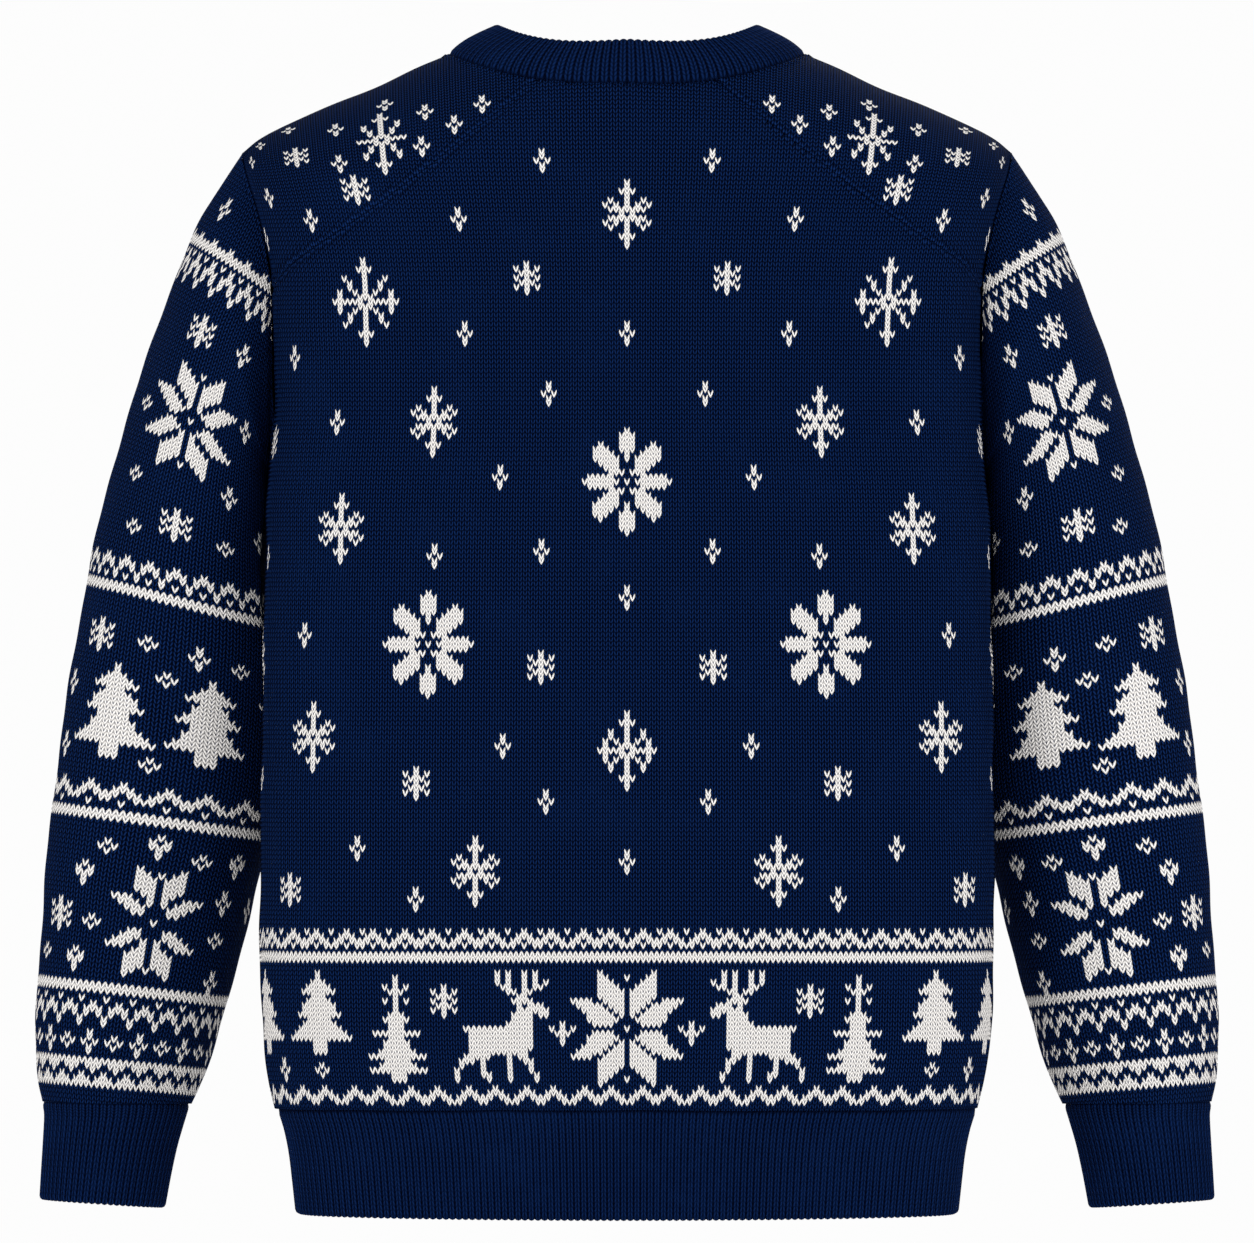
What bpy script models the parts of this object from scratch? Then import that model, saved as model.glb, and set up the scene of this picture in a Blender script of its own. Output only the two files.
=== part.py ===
"""A crew-neck knitted Christmas jumper, filled out as it is when worn, with nobody in it.

Eight pieces make it, each a wall of knitted cloth: the back, the front, two raglan sleeves that run
over the shoulders to the neck, the neckband, the hem rib and two cuffs.

Metres, +Z up. The wearer faces -Y and +X is the wearer's left. The origin lies in the middle of the
neck opening, level with the points where the neckband meets the top of the shoulders.

The torso is one surface, point(u, z, side). u runs round a level section, from 0 at the centre to 1
at the side seam, by its share of the length. side is BACK or FRONT. Below the shoulder line the
surface bends over in a quarter round, so that back and front meet on the shoulder line.
"""

import math
from collections import namedtuple

import bpy
import bmesh
import numpy as np

NAME = "christmas_jumper"
BACK = 1
FRONT = -1
LEFT = 1
RIGHT = -1

# Cloth
KNIT_WALL = 0.003        # two-colour knitting with floats behind it
RIB_WALL = 0.0036        # double rib of the neckband, hem and cuffs
SEAM_SETBACK = 0.0005    # of each edge from its seam line, so two pieces lie about 0.3 mm apart
RIB_SETBACK = 0.0003     # of a rib's first row, which meets the knitting at an angle
ARM_CLEARANCE = 0.0025   # from a sleeve to the side of the torso

# Torso: widest at SIDE_Y, a superellipse behind that plane and a rounder one in front of it
SIDE_Y = 0.015
BACK_POWER = 4.0
FRONT_POWER = 2.3
HEM_SEAM_Z = -0.618
UNDERARM_Z = -0.238
SHOULDER_BEND = 0.070    # height over which the back or front turns up onto the shoulder line
SHOULDER_Y = 0.0

TorsoRow = namedtuple("TorsoRow", "z half_width back_depth front_depth")
TORSO = [
    TorsoRow(-0.6180, 0.2060, 0.0900, 0.1010),
    TorsoRow(-0.6043, 0.2090, 0.0935, 0.1060),
    TorsoRow(-0.5750, 0.2130, 0.0965, 0.1110),
    TorsoRow(-0.4961, 0.2150, 0.0970, 0.1160),
    TorsoRow(-0.3364, 0.2132, 0.0975, 0.1200),
    TorsoRow(-0.2738, 0.2115, 0.0980, 0.1190),
    TorsoRow(-0.2036, 0.2068, 0.0985, 0.1150),
    TorsoRow(-0.1392, 0.2085, 0.0970, 0.1080),
    TorsoRow(-0.1030, 0.2145, 0.0920, 0.1030),
    TorsoRow(-0.0575, 0.2264, 0.0820, 0.0940),
    TorsoRow(0.0000, 0.2330, 0.0660, 0.0780),
    TorsoRow(0.0500, 0.2350, 0.0500, 0.0600),
]

# Shoulder line, from the middle of the neck (inside the neck opening) out to its tip on the armhole
ShoulderPoint = namedtuple("ShoulderPoint", "x z")
SHOULDER_LINE = [
    ShoulderPoint(0.0000, 0.0330),
    ShoulderPoint(0.0500, 0.0220),
    ShoulderPoint(0.1040, 0.0000),
    ShoulderPoint(0.1448, -0.0172),
    ShoulderPoint(0.1700, -0.0284),
    ShoulderPoint(0.2039, -0.0436),
    ShoulderPoint(0.2165, -0.0503),
    ShoulderPoint(0.2254, -0.0575),
]
NECK_HALF = 0.104
SHOULDER_TIP = 0.2254

# Armhole: its place round the section, at each height, behind and in front
ArmholeRow = namedtuple("ArmholeRow", "z back front")
ARMHOLE = [
    ArmholeRow(-0.2380, 1.000, 1.000),
    ArmholeRow(-0.2240, 0.962, 0.930),
    ArmholeRow(-0.2036, 0.926, 0.870),
    ArmholeRow(-0.1700, 0.892, 0.826),
    ArmholeRow(-0.1390, 0.877, 0.815),
    ArmholeRow(-0.1000, 0.877, 0.855),
    ArmholeRow(-0.0750, 0.877, 0.900),
    ArmholeRow(-0.0575, 0.877, 0.944),
]

# Raglan seams, from the neck seam to the armhole: how far they bow below a straight line
RAGLAN_FOOT_Z = -0.1390
RAGLAN_BOW = {BACK: 0.0135, FRONT: 0.0080}

# Neck seam: its depth below the shoulder line's end, behind and in front, and how square it is
NECK_DROP = {BACK: 0.0181, FRONT: 0.0850}
NECK_SQUARE = {BACK: 2.6, FRONT: 2.3}
NECK_ROUND = {BACK: 1.0, FRONT: 0.62}

# The neck seam is divided evenly by turn; the panels take the first steps from the centre
NECK_QUARTER = 12
PANEL_NECK_STEPS = {BACK: 4, FRONT: 7}

# Neckband: the way from its seam to its edge, leaning in to the neck, at the back, side and front
BAND_BOW = 0.0035        # how far it bulges between its seam and its edge
BandLean = namedtuple("BandLean", "turn out back_up up")
BAND_LEAN = [
    BandLean(0.00, 0.00, -0.0130, 0.0245),
    BandLean(0.50, -0.0270, 0.0000, 0.0164),
    BandLean(1.00, 0.00, 0.0160, 0.0225),
]

# Hem rib and its lower edge, which rises a little to the sides
HEM_BOTTOM_Z = -0.6800
HEM_SIDE_RISE = 0.0037
RibRow = namedtuple("RibRow", "drop half_width back_depth front_depth")
HEM_RIB = [
    RibRow(0.000, 0.2046, 0.0885, 0.0990),
    RibRow(0.160, 0.2008, 0.0855, 0.0955),
    RibRow(0.450, 0.1972, 0.0832, 0.0930),
    RibRow(0.720, 0.1953, 0.0822, 0.0920),
    RibRow(1.000, 0.1935, 0.0818, 0.0915),
]

# Sleeve rings below the armhole: outermost and innermost points, then the middle and half depth in Y
SleeveRing = namedtuple("SleeveRing", "outer_x outer_z inner_x inner_z mid_y half_depth")
SLEEVE_RINGS = [
    SleeveRing(0.2433, -0.0844, 0.2105, -0.2430, -0.002, 0.0600),
    SleeveRing(0.2577, -0.1121, 0.2105, -0.2490, -0.008, 0.0640),
    SleeveRing(0.2788, -0.1685, 0.2080, -0.2620, -0.018, 0.0660),
    SleeveRing(0.2980, -0.2250, 0.2050, -0.2830, -0.030, 0.0655),
    SleeveRing(0.3130, -0.2830, 0.2015, -0.3150, -0.040, 0.0640),
    SleeveRing(0.3226, -0.3323, 0.1995, -0.3520, -0.048, 0.0620),
    SleeveRing(0.3302, -0.3800, 0.2000, -0.3940, -0.054, 0.0595),
    SleeveRing(0.3373, -0.4317, 0.2060, -0.4430, -0.058, 0.0565),
    SleeveRing(0.3430, -0.4860, 0.2200, -0.4970, -0.061, 0.0525),
    SleeveRing(0.3472, -0.5429, 0.2345, -0.5530, -0.063, 0.0480),
    SleeveRing(0.3488, -0.5800, 0.2445, -0.5870, -0.064, 0.0450),
    SleeveRing(0.3480, -0.6010, 0.2515, -0.6050, -0.065, 0.0420),
    SleeveRing(0.3448, -0.6161, 0.2575, -0.6171, -0.065, 0.0385),
]
CUFF_RINGS = [
    SleeveRing(0.3441, -0.6158, 0.2585, -0.6168, -0.065, 0.0377),
    SleeveRing(0.3428, -0.6240, 0.2612, -0.6255, -0.065, 0.0350),
    SleeveRing(0.3436, -0.6400, 0.2660, -0.6420, -0.065, 0.0335),
    SleeveRing(0.3446, -0.6560, 0.2697, -0.6590, -0.065, 0.0328),
    SleeveRing(0.3455, -0.6712, 0.2729, -0.6762, -0.065, 0.0325),
]

# How finely each piece is divided
PANEL_ROWS_BODY = 7
ARMHOLE_STEPS = 6        # below the raglan seams, on panels and sleeves alike
RAGLAN_STEPS = 8         # along the raglan seams, on panels and sleeves alike
BAND_ROWS = 3
HEM_SEGMENTS = 56
CUFF_SEGMENTS = 26

NAVY = (0.004, 0.009, 0.038, 1.0)
KNIT_ROUGHNESS = 0.9


def smooth_table(at, places, values):
    """Read a smooth curve through a table's points; at may be a number or an array."""
    places = np.asarray(places, dtype=float)
    values = np.asarray(values, dtype=float)
    steps = np.diff(places)
    rises = np.diff(values) / steps
    slopes = np.empty_like(values)
    slopes[1:-1] = np.where(
        rises[:-1] * rises[1:] > 0.0,
        2.0 * rises[:-1] * rises[1:] / np.where(rises[:-1] + rises[1:] == 0.0, 1.0, rises[:-1] + rises[1:]),
        0.0,
    )
    slopes[0] = rises[0]
    slopes[-1] = rises[-1]
    at = np.clip(at, places[0], places[-1])
    low = np.clip(np.searchsorted(places, at, side="right") - 1, 0, len(places) - 2)
    step = steps[low]
    t = (at - places[low]) / step
    start = (1.0 + 2.0 * t) * (1.0 - t) ** 2 * values[low]
    leave = t * (1.0 - t) ** 2 * step * slopes[low]
    end = t * t * (3.0 - 2.0 * t) * values[low + 1]
    arrive = t * t * (t - 1.0) * step * slopes[low + 1]
    return start + leave + end + arrive


def column(table, field):
    """One named column of a table, as a list."""
    return [getattr(row, field) for row in table]


def quarter_section(power, depth_to_width):
    """Length share, width share and depth share along a quarter section of unit half-width."""
    turn = np.linspace(0.0, math.pi / 2.0, 721)
    width = np.sin(turn) ** (2.0 / power)
    depth = np.cos(turn) ** (2.0 / power)
    steps = np.hypot(np.diff(width), np.diff(depth) * depth_to_width)
    length = np.concatenate(([0.0], np.cumsum(steps)))
    return length / length[-1], width, depth


SECTION = {
    BACK: quarter_section(BACK_POWER, 0.45),
    FRONT: quarter_section(FRONT_POWER, 0.55),
}


def shoulder_z(x):
    """Height of the shoulder line at a distance from the middle."""
    return smooth_table(abs(x), column(SHOULDER_LINE, "x"), column(SHOULDER_LINE, "z"))


def half_width(z):
    """Half the torso's width at a height."""
    return smooth_table(z, column(TORSO, "z"), column(TORSO, "half_width"))


def depth(z, side):
    """Depth of the back or front from the plane of the side seams, at a height."""
    field = "back_depth" if side == BACK else "front_depth"
    return smooth_table(z, column(TORSO, "z"), column(TORSO, field))


def bend_share(turn):
    """How far out of the shoulder line's plane the cloth stands, at an angle of its bend."""
    return np.sin(np.clip(turn, 0.0, math.pi / 2.0))


def bend_turn(drop):
    """Angle of the shoulder's bend at a drop below the shoulder line, and past it a length."""
    share = np.maximum(drop, 0.0) / SHOULDER_BEND
    return np.where(share < 1.0, np.arccos(1.0 - np.minimum(share, 1.0)), math.pi / 2.0 + share - 1.0)


def bend_drop(turn):
    """Drop below the shoulder line at an angle of its bend: the inverse of bend_turn."""
    share = np.where(turn < math.pi / 2.0, 1.0 - np.cos(turn), 1.0 + turn - math.pi / 2.0)
    return share * SHOULDER_BEND


def place_at(x, z, side):
    """Place round the section, u, of a point of the torso at this x and height."""
    length, width, _ = SECTION[side]
    return np.interp(np.minimum(abs(x) / half_width(z), 1.0), width, length)


def point(u, z, side):
    """A point of the torso: u from the centre (0) to the side seam (1), height and side."""
    length, width, deep = SECTION[side]
    x = half_width(z) * np.interp(u, length, width)
    y = SIDE_Y + side * depth(z, side) * np.interp(u, length, deep)
    y = SHOULDER_Y + (y - SHOULDER_Y) * bend_share(bend_turn(shoulder_z(x) - z))
    return np.array((float(x), float(y), float(z)))


def shoulder_point(x, turn, side):
    """A point near the shoulder line, by its x and its angle of bend."""
    z = shoulder_z(x) - bend_drop(turn)
    u = place_at(x, z, side)
    _, _, deep = SECTION[side]
    y = SIDE_Y + side * depth(z, side) * np.interp(u, SECTION[side][0], deep)
    y = SHOULDER_Y + (y - SHOULDER_Y) * bend_share(turn)
    return np.array((float(x), float(y), float(z)))


def neck_z(x, side):
    """Height of the neck seam, behind or in front."""
    across = min(abs(x) / NECK_HALF, 1.0)
    return -NECK_DROP[side] * (1.0 - across ** NECK_SQUARE[side]) ** NECK_ROUND[side]


def armhole_u(z, side):
    """Place round the section where the armhole lies, at a height."""
    field = "back" if side == BACK else "front"
    return float(smooth_table(z, column(ARMHOLE, "z"), column(ARMHOLE, field)))


def armhole_x(z, side):
    """Distance of the armhole from the middle, at a height."""
    length, width, _ = SECTION[side]
    return float(half_width(z) * np.interp(armhole_u(z, side), length, width))


def neck_x(step):
    """Distance from the middle of a step round the neck seam's quarter."""
    return NECK_HALF * math.sin(math.pi / 2.0 * step / NECK_QUARTER)


def raglan_at(share, side):
    """u and z of a raglan seam, from its top (0) to its foot (1)."""
    top_x = neck_x(PANEL_NECK_STEPS[side])
    top_z = neck_z(top_x, side)
    top_u = float(place_at(top_x, top_z, side))
    u = top_u + (armhole_u(RAGLAN_FOOT_Z, side) - top_u) * share
    z = top_z + (RAGLAN_FOOT_Z - top_z) * share - RAGLAN_BOW[side] * 4.0 * share * (1.0 - share)
    return u, z


# ------------------------------------------------------------------------------------------ pieces


def panel_rows(side):
    """Rows of the back or front: each a list of points from the middle to the edge.

    Every row has a point under each point of the top edge: some under the neck seam, and the rest
    under the raglan seam, which ends on the armhole.
    """
    foot_u = armhole_u(RAGLAN_FOOT_Z, side)
    top = []
    for step in range(PANEL_NECK_STEPS[side]):
        z = neck_z(neck_x(step), side)
        top.append((float(place_at(neck_x(step), z, side)), z))
    top += [raglan_at(i / RAGLAN_STEPS, side) for i in range(RAGLAN_STEPS + 1)]
    rows = []
    for z in np.linspace(HEM_SEAM_Z, UNDERARM_Z, PANEL_ROWS_BODY + 1):
        rows.append([point(u / foot_u, z, side) for u, _ in top])
    for step in range(1, ARMHOLE_STEPS + 1):
        share = step / ARMHOLE_STEPS
        spread = armhole_u(UNDERARM_Z + (RAGLAN_FOOT_Z - UNDERARM_Z) * share, side) / foot_u
        rows.append([point(u * spread, UNDERARM_Z + (z - UNDERARM_Z) * share, side) for u, z in top])
    return rows


def mirrored_row(row):
    """A row from the far edge through the middle to the near edge."""
    return [np.array((-p[0], p[1], p[2])) for p in row[:0:-1]] + list(row)


def set_back(grid, first_row=True, last_row=True, columns=True, gap=SEAM_SETBACK):
    """Move a grid's edge points in from their seam lines, along the cloth."""
    grid = [[p.copy() for p in row] for row in grid]
    source = [[p.copy() for p in row] for row in grid]

    def shift(row, col, to_row, to_col):
        way = source[to_row][to_col] - source[row][col]
        grid[row][col] += way / np.linalg.norm(way) * gap

    last = len(grid) - 1
    for col in range(len(grid[0])):
        if first_row:
            shift(0, col, 1, col)
        if last_row:
            shift(last, col, last - 1, col)
    if columns:
        for row, points in enumerate(source):
            shift(row, 0, row, 1)
            shift(row, len(points) - 1, row, len(points) - 2)
    return grid


def add_grid(mesh, grid, closed):
    """Add a grid of points and its quads to a bmesh; rows may be closed loops."""
    rows = [[mesh.verts.new(p) for p in row] for row in grid]
    for low, high in zip(rows[:-1], rows[1:]):
        count = len(low)
        for i in range(count if closed else count - 1):
            j = (i + 1) % count
            mesh.faces.new((low[i], low[j], high[j], high[i]))
    return rows


def face_out(mesh, centre_of):
    """Turn the whole mesh so that its faces look away from its hollow."""
    mesh.normal_update()
    total = 0.0
    for face in mesh.faces:
        middle = np.array(face.calc_center_median())
        total += float(np.dot(np.array(face.normal), middle - centre_of(middle))) * face.calc_area()
    if total < 0.0:
        bmesh.ops.reverse_faces(mesh, faces=mesh.faces)


def finish_piece(name, mesh, wall, centre_of):
    """Make the object, give it its wall and its yarn."""
    face_out(mesh, centre_of)
    data = bpy.data.meshes.new(name)
    mesh.to_mesh(data)
    mesh.free()
    piece = bpy.data.objects.new(name, data)
    bpy.data.collections[NAME].objects.link(piece)
    solidify = piece.modifiers.new("wall", "SOLIDIFY")
    solidify.thickness = wall
    solidify.offset = -1.0
    solidify.use_even_offset = False
    piece.data.materials.append(yarn(name))
    return piece


def yarn(name):
    """Navy yarn for one piece."""
    material = bpy.data.materials.new(name + "_yarn")
    material.use_nodes = True
    shader = material.node_tree.nodes["Principled BSDF"]
    shader.inputs["Base Color"].default_value = NAVY
    shader.inputs["Roughness"].default_value = KNIT_ROUGHNESS
    shader.inputs["Metallic"].default_value = 0.0
    return material


def torso_middle(place):
    """The torso's middle line, at a point's height."""
    return np.array((0.0, SIDE_Y, min(place[2], -0.08)))


def make_panel(name, side):
    """The back or the front."""
    grid = set_back([mirrored_row(row) for row in panel_rows(side)])
    mesh = bmesh.new()
    add_grid(mesh, grid, closed=False)
    return finish_piece(name, mesh, KNIT_WALL, torso_middle)


def yoke_half(side):
    """The sleeve's top over one side of the shoulder: rows from the neck out, points from the line down."""
    def on_edge(x, z):
        return np.array((x, float(bend_turn(shoulder_z(x) - z))))

    steps = NECK_QUARTER - PANEL_NECK_STEPS[side]

    def neck_edge(s):
        x = neck_x(NECK_QUARTER - steps * s)
        return on_edge(x, neck_z(x, side))

    tip_z = float(shoulder_z(SHOULDER_TIP))
    foot_turn = float(bend_turn(shoulder_z(armhole_x(RAGLAN_FOOT_Z, side)) - RAGLAN_FOOT_Z))

    def armhole_edge(s):
        z = tip_z
        for _ in range(12):
            x = armhole_x(z, side)
            z = float(shoulder_z(x) - bend_drop(foot_turn * s))
        return np.array((SHOULDER_TIP if s == 0.0 else armhole_x(z, side), foot_turn * s))

    def seam_edge(t):
        u, z = raglan_at(t, side)
        return on_edge(point(u, z, side)[0], z)

    def line_edge(t):
        return np.array((NECK_HALF + (SHOULDER_TIP - NECK_HALF) * t, 0.0))

    rows = []
    for k in range(RAGLAN_STEPS + 1):
        t = k / RAGLAN_STEPS
        row = []
        for i in range(steps + 1):
            s = i / steps
            across = (1.0 - t) * neck_edge(s) + t * armhole_edge(s)
            along = (1.0 - s) * line_edge(t) + s * seam_edge(t)
            corners = (
                (1.0 - t) * (1.0 - s) * neck_edge(0.0) + (1.0 - t) * s * neck_edge(1.0)
                + t * (1.0 - s) * armhole_edge(0.0) + t * s * armhole_edge(1.0)
            )
            x, turn = across + along - corners
            row.append(shoulder_point(x, turn, side))
        rows.append(row)
    return rows


def armhole_lower(side):
    """Points of the armhole below the raglan seam's foot, down to the underarm."""
    heights = np.linspace(RAGLAN_FOOT_Z, UNDERARM_Z, ARMHOLE_STEPS + 1)[1:]
    return [point(armhole_u(z, side), z, side) for z in heights]


def clear_of_torso(place, share):
    """Push a sleeve's point out of the torso's side, to lie just clear of it."""
    x, y, z = place
    side = BACK if y > SIDE_Y else FRONT
    power = BACK_POWER if side == BACK else FRONT_POWER
    across = min(abs(y - SIDE_Y) / float(depth(z, side)), 1.0)
    wall = float(half_width(z)) * (1.0 - across ** power) ** (1.0 / power)
    least = wall + ARM_CLEARANCE * share
    return np.array((max(x, least), y, z))


def ring_points(ring, shares):
    """Points round a sleeve ring: shares run from 0, outermost, by the back to 0.5, innermost, to 1."""
    points = []
    for share in shares:
        angle = 2.0 * math.pi * share
        middle_x = (ring.outer_x + ring.inner_x) / 2.0
        middle_z = (ring.outer_z + ring.inner_z) / 2.0
        x = middle_x + (ring.outer_x - ring.inner_x) / 2.0 * math.cos(angle)
        z = middle_z + (ring.outer_z - ring.inner_z) / 2.0 * math.cos(angle)
        y = ring.mid_y + ring.half_depth * math.sin(angle)
        points.append(np.array((x, y, z)))
    return points


def make_sleeve(name, hand):
    """A raglan sleeve: its top over the shoulder, then rings from the armhole to the cuff."""
    halves = {side: yoke_half(side) for side in (BACK, FRONT)}
    yoke = [front[:0:-1] + back for back, front in zip(halves[BACK], halves[FRONT])]
    upper = {side: NECK_QUARTER - PANEL_NECK_STEPS[side] for side in (BACK, FRONT)}
    count = upper[BACK] + upper[FRONT] + 2 * ARMHOLE_STEPS
    back_count = upper[BACK] + ARMHOLE_STEPS
    shares = [0.5 * i / back_count for i in range(back_count)]
    shares += [0.5 + 0.5 * i / (count - back_count) for i in range(count - back_count)]
    rings = []
    for index, ring in enumerate(SLEEVE_RINGS):
        clear = min(1.0, (index + 1) / 2.0)
        rings.append([clear_of_torso(p, clear) for p in ring_points(ring, shares)])

    tip = upper[FRONT]
    lower = armhole_lower(BACK) + armhole_lower(FRONT)[-2::-1]
    yoke = set_back(yoke, first_row=True, last_row=False, columns=True)
    for i, place in enumerate(lower):
        way = rings[0][upper[BACK] + 1 + i] - place
        lower[i] = place + way / np.linalg.norm(way) * SEAM_SETBACK
    armhole = yoke[-1]
    loop = armhole[tip:] + lower + armhole[:tip]
    grid = set_back([loop] + rings, first_row=False, last_row=True, columns=False)
    mesh = bmesh.new()
    rows = add_grid(mesh, grid, closed=True)
    edge = [rows[0][(i - tip) % count] for i in range(len(armhole))]
    shoulder_rows = [[mesh.verts.new(p) for p in row] for row in yoke[:-1]] + [edge]
    for low, high in zip(shoulder_rows[:-1], shoulder_rows[1:]):
        for i in range(len(low) - 1):
            mesh.faces.new((low[i], low[i + 1], high[i + 1], high[i]))
    if hand == RIGHT:
        bmesh.ops.scale(mesh, vec=(-1.0, 1.0, 1.0), verts=mesh.verts)
        bmesh.ops.reverse_faces(mesh, faces=mesh.faces)

    def middle(place):
        down = float(np.interp(-place[2], (0.10, 0.25, 0.62), (0.0, 1.0, 2.0)))
        x = float(np.interp(down, (0.0, 1.0, 2.0), (0.19, 0.25, 0.30)))
        return np.array((hand * x, -0.02 - 0.02 * down, min(place[2], -0.10)))

    return finish_piece(name, mesh, KNIT_WALL, middle)


def neck_ring(turn):
    """A point of the neck seam: turn 0 is the centre back, 0.5 the left shoulder, 1 the centre front."""
    share = turn * 2.0 if turn <= 0.5 else 2.0 - turn * 2.0
    side = BACK if turn <= 0.5 else FRONT
    x = NECK_HALF * math.sin(share * math.pi / 2.0)
    z = neck_z(x, side)
    return shoulder_point(x, float(bend_turn(shoulder_z(x) - z)), side)


def make_neckband():
    """The rib round the neck, leaning in from its seam."""
    turns = column(BAND_LEAN, "turn")
    rows = []
    for step in range(BAND_ROWS + 1):
        share = step / BAND_ROWS
        row = []
        for i in range(4 * NECK_QUARTER):
            turn = i / (2.0 * NECK_QUARTER)
            mirror = 1.0 if turn <= 1.0 else -1.0
            turn = turn if turn <= 1.0 else 2.0 - turn
            lean = [float(smooth_table(turn, turns, column(BAND_LEAN, f))) for f in ("out", "back_up", "up")]
            seam = neck_ring(turn)
            bow = BAND_BOW * math.sin(math.pi * share)
            place = seam + np.array(lean) * share
            radial = seam * np.array((1.0, 1.0, 0.0))
            place += radial / np.linalg.norm(radial) * bow
            row.append(place * np.array((mirror, 1.0, 1.0)))
        rows.append(row)
    grid = set_back(rows, first_row=True, last_row=False, columns=False, gap=RIB_SETBACK)
    mesh = bmesh.new()
    add_grid(mesh, grid, closed=True)
    return finish_piece("neckband", mesh, RIB_WALL, lambda p: np.array((0.0, 0.0, p[2])))


def hem_point(turn, row):
    """A point of the hem rib: turn 0 is the centre back, 0.5 the left side, 1 the centre front."""
    share = turn * 2.0 if turn <= 0.5 else 2.0 - turn * 2.0
    side = BACK if turn <= 0.5 else FRONT
    length, width, deep = SECTION[side]
    x = row.half_width * np.interp(share, length, width)
    reach = row.back_depth if side == BACK else row.front_depth
    y = SIDE_Y + side * reach * np.interp(share, length, deep)
    bottom = HEM_BOTTOM_Z + HEM_SIDE_RISE * share ** 2
    z = HEM_SEAM_Z + (bottom - HEM_SEAM_Z) * row.drop
    return np.array((float(x), float(y), z))


def make_hem():
    """The rib round the hem."""
    rows = []
    for row in HEM_RIB:
        loop = []
        for i in range(HEM_SEGMENTS):
            turn = 2.0 * i / HEM_SEGMENTS
            mirror = 1.0 if turn <= 1.0 else -1.0
            turn = turn if turn <= 1.0 else 2.0 - turn
            loop.append(hem_point(turn, row) * np.array((mirror, 1.0, 1.0)))
        rows.append(loop)
    grid = set_back(rows, first_row=True, last_row=False, columns=False, gap=RIB_SETBACK)
    mesh = bmesh.new()
    add_grid(mesh, grid, closed=True)
    return finish_piece("hem_rib", mesh, RIB_WALL, lambda p: np.array((0.0, SIDE_Y, p[2])))


def make_cuff(name, hand):
    """The rib at the end of a sleeve."""
    shares = [i / CUFF_SEGMENTS for i in range(CUFF_SEGMENTS)]
    rows = [ring_points(ring, shares) for ring in CUFF_RINGS]
    grid = set_back(rows, first_row=True, last_row=False, columns=False, gap=RIB_SETBACK)
    mesh = bmesh.new()
    add_grid(mesh, grid, closed=True)
    if hand == RIGHT:
        bmesh.ops.scale(mesh, vec=(-1.0, 1.0, 1.0), verts=mesh.verts)
        bmesh.ops.reverse_faces(mesh, faces=mesh.faces)
    return finish_piece(name, mesh, RIB_WALL, lambda p: np.array((hand * 0.305, -0.065, p[2])))


def main():
    """Clear the scene and make the eight pieces."""
    for old in list(bpy.data.objects):
        bpy.data.objects.remove(old, do_unlink=True)
    bpy.context.scene.collection.children.link(bpy.data.collections.new(NAME))
    make_panel("body_back", BACK)
    make_panel("body_front", FRONT)
    make_sleeve("sleeve_left", LEFT)
    make_sleeve("sleeve_right", RIGHT)
    make_neckband()
    make_hem()
    make_cuff("cuff_left", LEFT)
    make_cuff("cuff_right", RIGHT)


main()
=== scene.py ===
"""The looks of a knitted Christmas jumper, filled out as when worn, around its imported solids.

Every panel is laid out stitch by stitch. A place on a panel is a wale (a column of stitches) and a
course (a row of them), and a field turns that place into a point of the cloth. The two-colour
patterns are charts, set on the panels in those same stitches. Metres, +Z up, the wearer faces -Y.
"""

from __future__ import annotations

import logging
import math
from abc import ABC, abstractmethod
from dataclasses import dataclass, field
from enum import Enum
from typing import Any, ClassVar, NamedTuple

import bmesh
import bpy
import numpy as np
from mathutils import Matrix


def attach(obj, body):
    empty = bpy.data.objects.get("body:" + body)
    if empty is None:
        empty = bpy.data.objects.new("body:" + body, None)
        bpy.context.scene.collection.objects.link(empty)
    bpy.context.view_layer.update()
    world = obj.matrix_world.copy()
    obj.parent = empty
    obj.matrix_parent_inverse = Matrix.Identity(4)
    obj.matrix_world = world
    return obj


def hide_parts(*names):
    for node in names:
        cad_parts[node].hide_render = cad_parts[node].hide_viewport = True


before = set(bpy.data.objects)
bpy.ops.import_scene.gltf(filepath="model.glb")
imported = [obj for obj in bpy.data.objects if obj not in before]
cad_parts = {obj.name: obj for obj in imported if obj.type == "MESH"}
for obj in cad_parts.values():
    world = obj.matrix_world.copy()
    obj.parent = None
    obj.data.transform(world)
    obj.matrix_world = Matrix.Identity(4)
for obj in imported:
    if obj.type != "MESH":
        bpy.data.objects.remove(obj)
LOG = logging.getLogger("jumper")
Array = np.ndarray


class Side(Enum):
    """The back or the front of the jumper; the value is its sign along Y."""

    BACK = 1
    FRONT = -1


class Hand(Enum):
    """The wearer's left or right; the value is its sign along X."""

    LEFT = 1
    RIGHT = -1


class Slot(Enum):
    """The record's material slots."""

    KNIT = "knit"
    RIB = "rib"


# ------------------------------------------------------------------------------------- tables of form


class TorsoRow(NamedTuple):
    """One level section of the torso."""

    z: float
    half_width: float
    back_depth: float
    front_depth: float


class ShoulderPoint(NamedTuple):
    """A point of the shoulder line."""

    x: float
    z: float


class ArmholeRow(NamedTuple):
    """Where the armhole lies round the section, behind and in front, at one height."""

    z: float
    back: float
    front: float


class SleeveRing(NamedTuple):
    """One slanted section of a sleeve or cuff."""

    outer_x: float
    outer_z: float
    inner_x: float
    inner_z: float
    mid_y: float
    half_depth: float


class RibRow(NamedTuple):
    """One level section of the hem rib, by its share of the way down."""

    drop: float
    half_width: float
    back_depth: float
    front_depth: float


class BandLean(NamedTuple):
    """The way from the neck seam to the neckband's edge, at a turn round the neck."""

    turn: float
    out: float
    back_up: float
    up: float


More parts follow.
